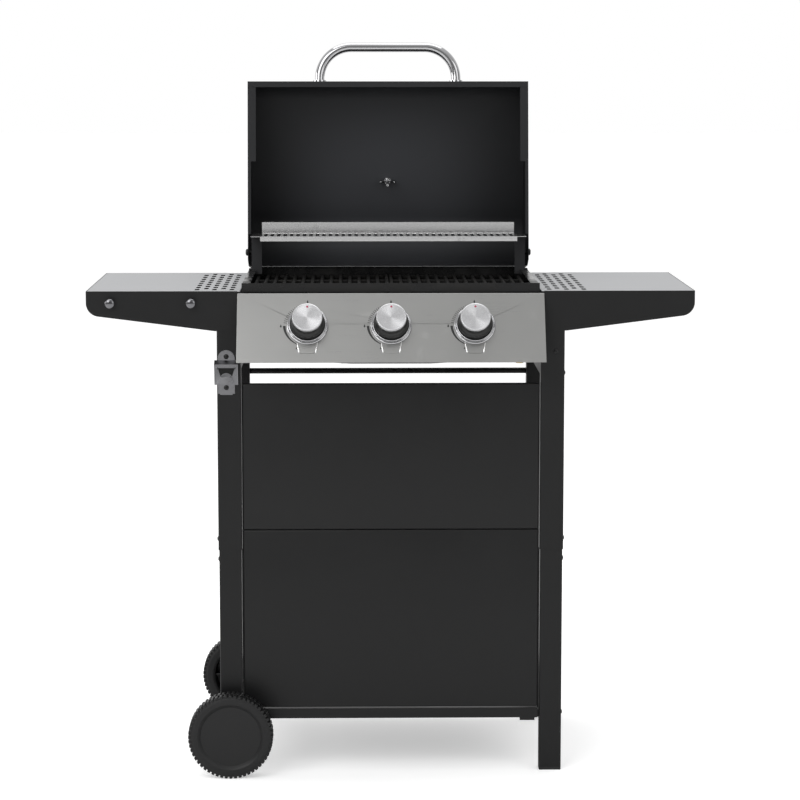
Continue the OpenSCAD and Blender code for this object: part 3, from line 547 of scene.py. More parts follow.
def lathe(bm, outline, steps, place, uv=None):
    """Turns an outline of (radius, height) pairs about the local Z axis."""
    rings = []
    for r, h in outline:
        if r < 1e-6:
            rings.append([bm.verts.new(place @ Vector((0, 0, h)))])
        else:
            rings.append([bm.verts.new(place @ Vector((r * math.cos(a), r * math.sin(a), h)))
                          for a in (2 * math.pi * k / steps for k in range(steps))])
    for i, (low, high) in enumerate(zip(rings, rings[1:])):
        for k in range(steps):
            n = (k + 1) % steps
            loop = [low[k % len(low)], low[n % len(low)], high[n % len(high)], high[k % len(high)]]
            face = bm.faces.new(list(dict.fromkeys(loop)))
            if uv is not None:
                where = {low[k % len(low)]: (k, i), low[n % len(low)]: (k + 1, i),
                         high[n % len(high)]: (k + 1, i + 1), high[k % len(high)]: (k, i + 1)}
                for corner in face.loops:
                    u, v = where[corner.vert]
                    corner[uv].uv = (u / steps, v / len(rings))


def turned_piece(name, outline, place, material, steps=72, uv=False):
    bm = bmesh.new()
    layer = bm.loops.layers.uv.new("round") if uv else None
    lathe(bm, outline, steps, place, layer)
    bmesh.ops.recalc_face_normals(bm, faces=bm.faces)
    mesh = bpy.data.meshes.new(name)
    bm.to_mesh(mesh)
    bm.free()
    smooth_by_angle(mesh, 32)
    return new_object(name, mesh, material)


def block(name, low, high, width, material, segments=2):
    """A box with rounded edges."""
    bm = bmesh.new()
    bmesh.ops.create_cube(bm, size=1)
    low, high = Vector(low), Vector(high)
    for v in bm.verts:
        v.co = Vector((l + (h - l) * (c + 0.5) for l, h, c in zip(low, high, v.co)))
    bmesh.ops.bevel(bm, geom=bm.edges[:], offset=width, segments=segments, profile=0.5, affect="EDGES")
    mesh = bpy.data.meshes.new(name)
    bm.to_mesh(mesh)
    bm.free()
    smooth_by_angle(mesh, 50)
    return new_object(name, mesh, material)


def joined(name, pieces):
    """Several objects as one, with their materials kept."""
    first = pieces[0]
    bpy.ops.object.select_all(action="DESELECT")
    for piece in pieces:
        piece.select_set(True)
    bpy.context.view_layer.objects.active = first
    bpy.ops.object.join()
    first.name = name
    first.data.name = name
    return first


def moved(obj, place):
    obj.data.transform(place)
    return obj


# ---------------------------------------------------------------- geometry nodes

def new_tree(name, inputs):
    tree = bpy.data.node_groups.new(name, "GeometryNodeTree")
    tree.is_modifier = True
    tree.interface.new_socket("Geometry", in_out="INPUT", socket_type="NodeSocketGeometry")
    for label, kind in inputs:
        tree.interface.new_socket(label, in_out="INPUT", socket_type="NodeSocket" + kind)
    tree.interface.new_socket("Geometry", in_out="OUTPUT", socket_type="NodeSocketGeometry")
    return tree, tree.nodes.new("NodeGroupInput"), tree.nodes.new("NodeGroupOutput")


def finish_tree(tree, entry, leave, geometry):
    """Every tree ends in real geometry with its material set."""
    realize = tree.nodes.new("GeometryNodeRealizeInstances")
    paint = tree.nodes.new("GeometryNodeSetMaterial")
    tree.links.new(geometry, realize.inputs["Geometry"])
    tree.links.new(realize.outputs["Geometry"], paint.inputs["Geometry"])
    tree.links.new(entry.outputs["Material"], paint.inputs["Material"])
    tree.links.new(paint.outputs["Geometry"], leave.inputs["Geometry"])
    return tree


def repeat_tree():
    """Copies one shape in a row, in a ring, or both, by its index."""
    tree, entry, leave = new_tree("Repeat a shape", [
        ("Count", "Int"), ("Step", "Vector"), ("Turn", "Vector"), ("Material", "Material")])
    nodes, links = tree.nodes, tree.links
    points = nodes.new("GeometryNodePoints")
    index = nodes.new("GeometryNodeInputIndex")
    put = nodes.new("GeometryNodeSetPosition")
    copies = nodes.new("GeometryNodeInstanceOnPoints")
    euler = nodes.new("FunctionNodeEulerToRotation")
    links.new(entry.outputs["Count"], points.inputs["Count"])
    for label, target in (("Step", put.inputs["Position"]), ("Turn", euler.inputs["Euler"])):
        times = nodes.new("ShaderNodeVectorMath")
        times.operation = "SCALE"
        links.new(entry.outputs[label], times.inputs[0])
        links.new(index.outputs[0], times.inputs["Scale"])
        links.new(times.outputs["Vector"], target)
    links.new(points.outputs[0], put.inputs["Geometry"])
    links.new(put.outputs["Geometry"], copies.inputs["Points"])
    links.new(entry.outputs["Geometry"], copies.inputs["Instance"])
    links.new(euler.outputs["Rotation"], copies.inputs["Rotation"])
    return finish_tree(tree, entry, leave, copies.outputs["Instances"])


def screw_tree():
    """A domed screw head with a cross recess on every point of a mesh."""
    tree, entry, leave = new_tree("Cross-head screws", [
        ("Head radius", "Float"), ("Head height", "Float"), ("Shank", "Float"), ("Recess", "Float"),
        ("Facing", "Vector"), ("Material", "Material")])
    nodes, links = tree.nodes, tree.links

    def math_node(operation, a, b):
        node = nodes.new("ShaderNodeMath")
        node.operation = operation
        for socket, value in zip(node.inputs, (a, b)):
            if isinstance(value, (int, float)):
                socket.default_value = value
            else:
                links.new(value, socket)
        return node.outputs[0]

    radius, height = entry.outputs["Head radius"], entry.outputs["Head height"]
    ball = nodes.new("GeometryNodeMeshUVSphere")
    ball.inputs["Segments"].default_value = 20
    ball.inputs["Rings"].default_value = 10
    links.new(radius, ball.inputs["Radius"])
    flat = nodes.new("GeometryNodeTransform")
    scale = nodes.new("ShaderNodeCombineXYZ")
    scale.inputs["X"].default_value = scale.inputs["Y"].default_value = 1
    links.new(math_node("DIVIDE", height, radius), scale.inputs["Z"])
    links.new(scale.outputs[0], flat.inputs["Scale"])
    links.new(ball.outputs["Mesh"], flat.inputs["Geometry"])
    cuts = []
    under = nodes.new("GeometryNodeMeshCube")
    under_at = nodes.new("GeometryNodeTransform")
    for size, at in (((0.03, 0.03, 0.01), (0, 0, -0.005)),):
        under.inputs["Size"].default_value = size
        under_at.inputs["Translation"].default_value = at
    links.new(under.outputs["Mesh"], under_at.inputs["Geometry"])
    cuts.append(under_at.outputs["Geometry"])
    for long_side in (0, 1):
        bar = nodes.new("GeometryNodeMeshCube")
        size = nodes.new("ShaderNodeCombineXYZ")
        links.new(math_node("MULTIPLY", radius, 1.05), size.inputs[long_side])
        links.new(entry.outputs["Recess"], size.inputs[1 - long_side])
        links.new(height, size.inputs["Z"])
        links.new(size.outputs[0], bar.inputs["Size"])
        lift = nodes.new("GeometryNodeTransform")
        up = nodes.new("ShaderNodeCombineXYZ")
        links.new(height, up.inputs["Z"])
        links.new(up.outputs[0], lift.inputs["Translation"])
        links.new(bar.outputs["Mesh"], lift.inputs["Geometry"])
        cuts.append(lift.outputs["Geometry"])
    cut = nodes.new("GeometryNodeMeshBoolean")
    cut.operation = "DIFFERENCE"
    cut.solver = "EXACT"
    links.new(flat.outputs["Geometry"], cut.inputs["Mesh 1"])
    for piece in cuts:
        links.new(piece, cut.inputs["Mesh 2"])
    shank = nodes.new("GeometryNodeMeshCylinder")
    shank.inputs["Vertices"].default_value = 14
    links.new(math_node("MULTIPLY", radius, 0.42), shank.inputs["Radius"])
    links.new(entry.outputs["Shank"], shank.inputs["Depth"])
    down = nodes.new("GeometryNodeTransform")
    drop = nodes.new("ShaderNodeCombineXYZ")
    links.new(math_node("MULTIPLY", entry.outputs["Shank"], -0.5), drop.inputs["Z"])
    links.new(drop.outputs[0], down.inputs["Translation"])
    links.new(shank.outputs["Mesh"], down.inputs["Geometry"])
    both = nodes.new("GeometryNodeJoinGeometry")
    links.new(cut.outputs["Mesh"], both.inputs[0])
    links.new(down.outputs["Geometry"], both.inputs[0])
    copies = nodes.new("GeometryNodeInstanceOnPoints")
    euler = nodes.new("FunctionNodeEulerToRotation")
    links.new(entry.outputs["Facing"], euler.inputs["Euler"])
    links.new(entry.outputs["Geometry"], copies.inputs["Points"])
    links.new(both.outputs[0], copies.inputs["Instance"])
    links.new(euler.outputs["Rotation"], copies.inputs["Rotation"])
    return finish_tree(tree, entry, leave, copies.outputs["Instances"])


def grown(obj, tree, **values):
    """Runs a tree on an object and keeps the plain mesh."""
    modifier = obj.modifiers.new(tree.name, "NODES")
    modifier.node_group = tree
    for item in tree.interface.items_tree:
        key = item.name.lower().replace(" ", "_")
        if item.item_type == "SOCKET" and item.in_out == "INPUT" and key in values:
            modifier[item.identifier] = values[key]
    return baked(obj)


def tree_named(name, build):
    return bpy.data.node_groups.get(name) or build()


def repeated(obj, count, material, step=(0, 0, 0), turn=(0, 0, 0)):
    tree = tree_named("Repeat a shape", repeat_tree)
    obj = grown(obj, tree, count=count, step=step, turn=turn, material=material)
    smooth_by_angle(obj.data, 50)
    return obj


# ---------------------------------------------------------------- places

def knob_place(side):
    """The frame of one knob: Z leaves the panel, Y climbs it."""
    joint = JOINTS["knob_%s_turn" % side]
    z = Vector(joint["axis"]).normalized()
    x = Vector((1, 0, 0))
    y = z.cross(x)
    place = Matrix((x, y, z)).transposed().to_4x4()
    place.translation = Vector(joint["pos_m"])
    return place


def islands(node):
    """The low and high corners of each loose solid in a node."""
    bm = merged_bmesh(node)
    seen, out = set(), []
    for seed in bm.verts:
        if seed in seen:
            continue
        stack, group = [seed], []
        seen.add(seed)
        while stack:
            v = stack.pop()
            group.append(v.co.copy())
            for edge in v.link_edges:
                other = edge.other_vert(v)
                if other not in seen:
                    seen.add(other)
                    stack.append(other)
        out.append((Vector(map(min, zip(*group))), Vector(map(max, zip(*group)))))
    bm.free()
    return out


# ---------------------------------------------------------------- operators

class BBQ_OT_materials(bpy.types.Operator):
    """Makes one material for each finish and puts them on the frame"""

    bl_idname = "bbq.materials"
    bl_label = "Materials"

    def execute(self, context):
        MADE.update(slot_materials())
        for node, obj in NODES.items():
            obj.data.materials.clear()
            obj.data.materials.append(MADE[SLOT_OF[node]])
        return {"FINISHED"}


class BBQ_OT_frame(bpy.types.Operator):
    """Rounds the edges of the trolley's tubes, shelves and sheet parts"""

    bl_idname = "bbq.frame"
    bl_label = "Trolley frame"

    def execute(self, context):
        edge = sizes().edge
        for node in NODES:
            if "_leg_" in node or node.startswith("side_rail"):
                softened(node, edge, flat=True)
        for node in ("bottom_shelf", "shelf_frame_left", "shelf_frame_right", "foot_caps"):
            softened(node, edge)
        for node in ("shelf_top_left", "shelf_top_right"):
            self.shade_slot_walls(softened(node, edge * 0.8), node)
        return {"FINISHED"}

    def shade_slot_walls(self, obj, node):
        """Coats the walls of the slots black, the black of the frame below them: painted shade inside the slots.
        """
        low, high = (Vector(c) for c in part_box(node))
        inset = 3 * MM
        # painted shade: a second material, the frame's black coat, goes on the slot walls
        obj.data.materials.append(MADE["black_coat"])
        for face in obj.data.polygons:
            at = face.center
            inside = low.x + inset < at.x < high.x - inset and low.y + inset < at.y < high.y - inset
            if inside and abs(face.normal.z) < 0.9:
                face.material_index = 1


class BBQ_OT_front_panels(bpy.types.Operator):
    """Folds the two front panels with rounded bends"""

    bl_idname = "bbq.front_panels"
    bl_label = "Front panels"

    def execute(self, context):
        for node in ("front_panel_upper", "front_panel_lower"):
            low, high = (Vector(c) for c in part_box(node))
            low.x, high.x = low.x + 2 * MM, high.x - 2 * MM
            self.panel(node, low, high)
        return {"FINISHED"}

    def panel(self, node, low, high):
        bend, wall = sizes().bend, 1 * MM
        bm = bmesh.new()
        bmesh.ops.create_cube(bm, size=1)
        for v in bm.verts:
            v.co = Vector((l + (h - l) * (c + 0.5) for l, h, c in zip(low, high, v.co)))
        back = [f for f in bm.faces if f.normal.y > 0.9]
        bmesh.ops.delete(bm, geom=back, context="FACES_ONLY")
        folds = [e for e in bm.edges if len(e.link_faces) == 2]
        bmesh.ops.bevel(bm, geom=folds, offset=bend, segments=4, profile=0.5, affect="EDGES")
        mesh = bpy.data.meshes.new(node)
        bm.to_mesh(mesh)
        bm.free()
        obj = new_object(node + "_folded", mesh, MADE["black_coat"])
        solid = obj.modifiers.new("sheet", "SOLIDIFY")
        solid.thickness = wall
        solid.offset = -1
        solid.use_even_offset = True
        baked(obj)
        smooth_by_angle(obj.data, 40)
        attach(obj, "trolley", "black_coat", node)


class BBQ_OT_screws(bpy.types.Operator):
    """Puts cross-head screws where the frame has its fasteners"""

    bl_idname = "bbq.screws"
    bl_label = "Frame screws"

    def execute(self, context):
        head = 4.6 * MM
        groups = {}
        for low, high in islands("frame_screws"):
            size = high - low
            if abs(size.y - 2 * head) > 0.0003:
                groups.setdefault("front", []).append(
                    Vector(((low.x + high.x) / 2, low.y, (low.z + high.z) / 2)))
            elif low.x > 0:
                groups.setdefault("right", []).append(
                    Vector((high.x, (low.y + high.y) / 2, (low.z + high.z) / 2)))
            else:
                groups.setdefault("left", []).append(
                    Vector((low.x, (low.y + high.y) / 2, (low.z + high.z) / 2)))
        facing = {"front": (math.pi / 2, 0, 0), "right": (0, math.pi / 2, 0), "left": (0, -math.pi / 2, 0)}
        inward = {"front": Vector((0, 1, 0)), "right": Vector((-1, 0, 0)), "left": Vector((1, 0, 0))}
        pieces = []
        for side, points in groups.items():
            mesh = bpy.data.meshes.new("screws_" + side)
            mesh.from_pydata([p + inward[side] * 2.8 * MM for p in points], [], [])
            obj = new_object("screws_" + side, mesh)
            grown(obj, tree_named("Cross-head screws", screw_tree), head_radius=head, head_height=2.7 * MM,
                  shank=5 * MM, recess=sizes().screw_recess, facing=facing[side], material=MADE["black_bolt"])
            smooth_by_angle(obj.data, 35)
            pieces.append(obj)
        attach(joined("frame_screw_heads", pieces), "trolley", "black_bolt", "frame_screws")
        return {"FINISHED"}


class BBQ_OT_firebox(bpy.types.Operator):
    """Finishes the firebox, its brackets, the grates and what hangs in it"""

    bl_idname = "bbq.firebox"
    bl_label = "Firebox and grates"

    def execute(self, context):
        edge = sizes().edge
        softened("firebox", edge * 0.3)
        for node in ("hinge_bracket_left", "hinge_bracket_right", "warming_rack", "grease_tray"):
            softened(node, edge * 0.8)
        for node in ("grate_left", "grate_right"):
            self.grate(node)
        return {"FINISHED"}

    def grate(self, node):
        """Rounded bars over cross bars, with the outer rear corner left open."""
        low, high = (Vector(c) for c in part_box(node))
        iron = MADE["cast_grate"]
        side = 1 if low.x > 0 else -1
        inner, outer = (low.x, high.x) if side > 0 else (high.x, low.x)
        wide, depth, cross = 6 * MM, 1.6 * MM, 8 * MM
        count = 15
        step = (high.x - low.x - wide) / (count - 1)
        notch_x = abs(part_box("hinge_bracket_right")[0][0]) - 0.6 * MM
        notch_y = max(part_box("hinge_bracket_right")[0][1], high.y - 39.6 * MM)
        bar = block(node + "_bar", (low.x, low.y, low.z + 2.5 * MM), (low.x + wide, high.y, high.z),
                    depth, iron)
        if side < 0:
            bar.data.transform(Matrix.Translation((step, 0, 0)))
        pieces = [repeated(bar, count - 1, iron, step=(step, 0, 0))]
        x = outer - wide if side > 0 else outer
        pieces.append(block(node + "_short", (x, low.y, low.z + 2.5 * MM), (x + wide, notch_y, high.z),
                            depth, iron))
        rail = block(node + "_rail", low, (high.x, low.y + cross, high.z - 2 * MM), depth, iron)
        pieces.append(repeated(rail, 3, iron, step=(0, (high.y - low.y - cross) / 3, 0)))
        ends = sorted((inner, side * notch_x))
        pieces.append(block(node + "_last", (ends[0], high.y - cross, low.z),
                            (ends[1], high.y, high.z - 2 * MM),
                            depth, iron))
        attach(joined(node + "_cast", pieces), BODY_OF[node], "cast_grate", node)


class BBQ_OT_lid(bpy.types.Operator):
    """Finishes the lid, its handle and its thermometer"""

    bl_idname = "bbq.lid"
    bl_label = "Lid"

    def execute(self, context):
        edge = sizes().edge
        for node in ("lid_hood", "lid_cap_left", "lid_cap_right", "wing_nut", "handle_collars"):
            softened(node, edge * 0.7)
        softened("lid_handle")
        self.gauge()
        return {"FINISHED"}

    def gauge(self):
        """A bimetal dial under glass, with its stem through the lid."""
        lean = sizes().dial_lean
        z = Vector((0, math.cos(lean), math.sin(lean)))
        x = Vector((1, 0, 0))
        points = [v.co for v in NODES["thermometer"].data.vertices]
        rim = max(p.dot(z) for p in points)
        ring = {tuple(round(c, 6) for c in p) for p in points if p.dot(z) > rim - 0.1 * MM}
        centre = sum((Vector(p) for p in ring), Vector()) / len(ring) - z * 8.5 * MM
        place = Matrix((x, z.cross(x), z)).transposed().to_4x4()
        place.translation = centre
        chrome = MADE["bright_chrome"]
        paper = ink("dial_face", (0.78, 0.78, 0.76), rough=0.4)
        black = ink("dial_ink", (0.02, 0.02, 0.02))
        red = ink("dial_hot_ink", (0.45, 0.03, 0.02))

        def turned(name, points, material, steps=72, radius=0.3):
            outline = [(p.x * MM, p.y * MM) for p in corner_arcs([Vector(p) for p in points], radius, 3)]
            return turned_piece(name, outline, place, material, steps=steps)

        pieces = [
            turned("gauge_case", [(0, 0), (27, 0), (30, 2), (30, 7), (28.5, 8.5), (26.5, 8.5),
                                  (26.4, 5.2), (0, 5.2)],
                   chrome, 96, 0.6),
            turned("gauge_stem", [(0, -42), (2.2, -42), (2.2, -9), (3.4, -9), (3.4, 0.5), (0, 0.5)],
                   chrome, 24),
            turned("gauge_face", [(0, 5.1), (26.2, 5.1), (26.2, 5.5), (0, 5.5)], paper, 72, 0.1),
            turned("gauge_hub", [(0, 5.4), (3, 5.4), (3, 6.6), (0, 6.6)], black, 32, 0.4),
            turned("gauge_glass", [(0, 6.9), (26.35, 6.9), (26.35, 7.3), (18, 7.7), (0, 7.9)],
                   dial_glass(), 72, 0.1),
        ]
        count = sizes().dial_ticks
        sweep = math.radians(280)
        tick = block("gauge_tick", (20 * MM, -0.3 * MM, 5.4 * MM), (24 * MM, 0.3 * MM, 5.62 * MM),
                     0.08 * MM, black)
        ticks = repeated(tick, count, black, turn=(0, 0, -sweep / (count - 1)))
        pieces.append(moved(ticks, place @ Matrix.Rotation(math.radians(90) + sweep / 2, 4, "Z")))
        dot = block("gauge_hot", (16.6 * MM, -0.9 * MM, 5.4 * MM), (18.4 * MM, 0.9 * MM, 5.6 * MM),
                    0.08 * MM, red)
        dots = repeated(dot, 14, red, turn=(0, 0, math.radians(-5)))
        pieces.append(moved(dots, place @ Matrix.Rotation(
            math.radians(90) - sweep / 2 + math.radians(65), 4, "Z")))
        hand = block("gauge_hand", (-0.6 * MM, -5 * MM, 5.7 * MM), (0.6 * MM, 19 * MM, 6.1 * MM),
                     0.15 * MM, black)
        pieces.append(moved(hand, place @ Matrix.Rotation(math.radians(140), 4, "Z")))
        attach(joined("lid_gauge", pieces), "lid", "bright_chrome", "thermometer")


class BBQ_OT_panel(bpy.types.Operator):
    """Finishes the control panel and prints the marks round its knobs"""

    bl_idname = "bbq.panel"
    bl_label = "Control panel"

    def execute(self, context):
        softened("control_panel", sizes().edge * 1.1, segments=3)
        black = ink("panel_ink", (0.012, 0.012, 0.012))
        pieces = []
        for side in SIDES:
            pieces += self.marks(side, black)
        attach(joined("panel_marks", pieces), "trolley", "black_knob")
        # the beads' steel is far paler than the panel's own: a painted highlight along the tongue's rolled edges
        painted_glint = bright_plate("polished_steel", (0.95, 0.95, 0.94), rough=0.22)
        beads = [self.bead(side, hand, painted_glint) for side in SIDES for hand in (-1, 1)]
        attach(joined("panel_beads", beads), "trolley", "panel_steel")
        return {"FINISHED"}

    def bead(self, side, hand, steel):
        """The rolled edge of the raised tongue below a knob."""
        bead = block("bead_" + side, (-1.3 * MM, -10 * MM, 0), (1.3 * MM, 10 * MM, 2.2 * MM),
                     1.0 * MM, steel, segments=4)
        lean = -math.atan2(4.5, 30) * hand
        at = Vector((16.0 * hand, -42.5, 0)) * MM
        return moved(bead, knob_place(side) @ Matrix.Translation(at) @ Matrix.Rotation(lean, 4, "Z"))

    def marks(self, side, black):
        place = knob_place(side)
        out = []
        arc = self.swept("arc_" + side, 38.6 * MM, math.radians(180), math.radians(244), 4.6 * MM, 1.4 * MM)
        out.append(new_object("arc_" + side, arc, black))
        tick = block("tick_" + side, (37.4 * MM, -0.5 * MM, 0), (42.2 * MM, 0.5 * MM, 0.16 * MM),
                     0.05 * MM, black)
        ticks = repeated(tick, 15, black, turn=(0, 0, math.radians(5.4)))
        out.append(moved(ticks, Matrix.Rotation(math.radians(96), 4, "Z")))
        for angle, size in ((90, 1.0), (180, 1.0), (246, 0.72)):
            out.append(new_object("flame_" + side, self.flame(angle, size), black))
        for obj in out:
            moved(obj, place)
        return out

    def swept(self, name, radius, start, end, thick, thin, steps=28):
        """A tapering band round a knob, as thick as paint."""
        bm = bmesh.new()
        rows = []
        for k in range(steps + 1):
            t = k / steps
            a, w = start + (end - start) * t, thick + (thin - thick) * t
            rows.append([bm.verts.new(Vector((r * math.cos(a), r * math.sin(a), h)))
                         for r, h in ((radius, 0), (radius, 0.16 * MM),
                                      (radius + w, 0.16 * MM), (radius + w, 0))])
        for a, b in zip(rows, rows[1:]):
            for i in range(4):
                bm.faces.new((a[i], a[(i + 1) % 4], b[(i + 1) % 4], b[i]))
        bm.faces.new(rows[0])
        bm.faces.new(rows[-1])
        bmesh.ops.recalc_face_normals(bm, faces=bm.faces)
        mesh = bpy.data.meshes.new(name)
        bm.to_mesh(mesh)
        bm.free()
        return mesh

    def flame(self, degrees, size, steps=20):
        """A plain drop-shaped flame mark."""
        radius = 47 * MM
        a = math.radians(degrees)
        at = Vector((radius * math.cos(a), radius * math.sin(a), 0))
        bm = bmesh.new()
        rings = ([], [])
        for k in range(steps):
            t = 2 * math.pi * k / steps
            x = 2.1 * math.sin(t) * math.sin(t / 2) ** 1.5
            y = 3.0 * math.cos(t)
            for ring, h in zip(rings, (0, 0.16 * MM)):
                ring.append(bm.verts.new(at + Vector((x * size * MM, y * size * MM, h))))
        bm.faces.new(rings[1])
        bm.faces.new(rings[0][::-1])
        for k in range(steps):
            n = (k + 1) % steps
            bm.faces.new((rings[0][k], rings[0][n], rings[1][n], rings[1][k]))
        bmesh.ops.remove_doubles(bm, verts=bm.verts, dist=1e-6)
        bmesh.ops.recalc_face_normals(bm, faces=bm.faces)
        mesh = bpy.data.meshes.new("flame")
        bm.to_mesh(mesh)
        bm.free()
        return mesh


class BBQ_OT_knobs(bpy.types.Operator):
    """Turns the bezels, the ribbed knobs and their spun faces"""

    bl_idname = "bbq.knobs"
    bl_label = "Knobs"

    def execute(self, context):
        chrome, black = MADE["bright_chrome"], MADE["black_knob"]
        red = ink("pointer_ink", colours().mark, rough=0.35)
        bezels = []
        for side in SIDES:
            place = knob_place(side)
            bezels.append(turned_piece("bezel_" + side, self.bezel_outline(), place, chrome, steps=96))
            self.knob(side, place, black)
            self.face(side, place, red)
        attach(joined("bezel_rings", bezels), "trolley", "bright_chrome", "knob_bezels")
        return {"FINISHED"}

    def bezel_outline(self):
        points = [(9, 1.1), (36, 1.1), (36, 3.0), (35.2, 3.9), (34.7, 3.9), (34.4, 3.1),
                  (33.9, 3.1), (33.6, 5.0),
                  (33.2, 5.4), (32.9, 4.8), (32.6, 4.8), (32.4, 7.2), (31.9, 7.8), (31.4, 7.6), (31.4, 2.7),
                  (9, 2.7), (9, 1.1)]
        return [(p.x * MM, p.y * MM) for p in corner_arcs([Vector(p) for p in points], 0.4, 3)]

    def knob(self, side, place, black):
        points = [(3.06, 6.6), (29.2, 6.6), (29.6, 7.4), (29.6, 17), (28.2, 20),
                  (26.0, 23), (25.8, 31.9), (0, 31.9)]
        outline = [(p.x * MM, p.y * MM) for p in corner_arcs([Vector(p) for p in points], 0.8, 3)]
        outline = [(0, 31 * MM), (3.06 * MM, 31 * MM)] + outline
        body = turned_piece("skirt_" + side, outline, place, black)
        count = sizes().knob_ribs
        rib = block("rib_" + side, (28.6 * MM, -0.7 * MM, 7.6 * MM), (30.35 * MM, 0.7 * MM, 17.2 * MM),
                    0.35 * MM, black)
        ribs = moved(repeated(rib, count, black, turn=(0, 0, 2 * math.pi / count)), place)
        attach(joined("knob_%s_ribbed" % side, [body, ribs]), "knob_turn_" + side,
               "black_knob", "knob_" + side)

    def face(self, side, place, red):
        steel = spun_steel("spun_face_" + side, place.translation, place.to_euler())
        points = [(0, 32.0), (26.3, 32.0), (26.5, 37.0), (25.0, 37.9), (23.8, 37.5), (0, 37.0)]
        outline = [(p.x * MM, p.y * MM) for p in corner_arcs([Vector(p) for p in points], 0.8, 4)]
        face = turned_piece("face_" + side, outline, place, steel, steps=96, uv=True)
        dot = turned_piece("pointer_" + side, [(0, 36.9 * MM), (1.9 * MM, 36.9 * MM), (1.9 * MM, 37.55 * MM),
                                               (1.6 * MM, 37.7 * MM), (0, 37.7 * MM)],
                           place @ Matrix.Translation((0, 20.2 * MM, 0)), red, steps=20)
        obj = joined("knob_%s_cap" % side, [face, dot])
        attach(obj, "knob_turn_" + side, "spun_face", "knob_face_" + side)


class BBQ_OT_fittings(bpy.types.Operator):
    """Finishes the bottle opener and the tool pegs"""

    bl_idname = "bbq.fittings"
    bl_label = "Opener and pegs"

    def execute(self, context):
        self.opener()
        pegs = []
        smoked = bright_plate("smoked_chrome", (0.20, 0.20, 0.21))
        for low, high in islands("tool_pegs"):
            pegs += self.peg(low, high, smoked)
        attach(joined("tool_pegs_turned", pegs), "trolley", "bright_chrome", "tool_pegs")
        return {"FINISHED"}

    def opener(self):
        """The opener's plate, with its mouth stamped out round the tongue."""
        obj = softened("bottle_opener", sizes().edge)
        low, high = (Vector(c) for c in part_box("bottle_opener"))
        centre, foot = (low.x + high.x) / 2, low.z + 2 * MM
        tongue = [(12 * math.cos(a), 25 + 12 * math.sin(a))
                  for a in (math.radians(30 + 12 * k) for k in range(11))]
        outline = [(-15, 46), (15, 46)] + tongue
        bm = bmesh.new()
        rows = [[bm.verts.new((centre + x * MM, high.y + y * MM, foot + h * MM)) for x, h in outline]
                for y in (-2.2, 1)]
        bm.faces.new(rows[0])
        bm.faces.new(rows[1][::-1])
        for k in range(len(outline)):
            n = (k + 1) % len(outline)
            bm.faces.new((rows[0][k], rows[1][k], rows[1][n], rows[0][n]))
        bmesh.ops.recalc_face_normals(bm, faces=bm.faces)
        mesh = bpy.data.meshes.new("mouth")
        bm.to_mesh(mesh)
        bm.free()
        mouth = new_object("mouth", mesh)
        cut = obj.modifiers.new("mouth", "BOOLEAN")
        cut.object = mouth
        cut.solver = "EXACT"
        baked(obj)
        bpy.data.objects.remove(mouth)
        smooth_by_angle(obj.data, 40)

    def peg(self, low, high, smoked):
        """A domed peg: neck and head in front of the sheet, thread and nut behind it."""
        stand = 15.2
        z = Vector((0, -1, 0))
        x = Vector((1, 0, 0))
        place = Matrix((x, z.cross(x), z)).transposed().to_4x4()
        place.translation = Vector(((low.x + high.x) / 2, low.y + stand * MM, (low.z + high.z) / 2))
        head = 8.5
        dome = [(head * math.cos(a), 11.6 + (stand - 11.6) * math.sin(a))
                for a in (math.radians(10 * k) for k in range(10))]
        points = ([(0, -8), (2.5, -8), (2.5, 0), (4, 0), (4, 9.6), (7.2, 10.2), (head, 11.2)]
                  + dome[:-1] + [(0, stand)])
        outline = [(r * MM, h * MM) for r, h in points]
        nut = [(r * MM, h * MM) for r, h in ((2.4, -5.2), (4.6, -5.2), (5.0, -4.8), (5.0, -1.5), (2.4, -1.5))]
        return [turned_piece("peg", outline, place, smoked, steps=48),
                turned_piece("peg_nut", nut, place, MADE["zinc_steel"], steps=6)]


class BBQ_OT_gas_train(bpy.types.Operator):
    """Finishes the burners, the gas train, the tray runners and the bolts"""

    bl_idname = "bbq.gas_train"
    bl_label = "Burners and gas train"

    def execute(self, context):
        for node in ("burner_left", "burner_centre", "burner_right", "gas_manifold", "gas_inlet",
                     "valve_bodies", "valve_stem_left", "valve_stem_centre", "valve_stem_right",
                     "hinge_bolts", "rear_crossbar",
                     "axle"):
            softened(node)
        for node in ("flame_tamers", "tray_runners"):
            softened(node, sizes().edge * 0.6)
        return {"FINISHED"}


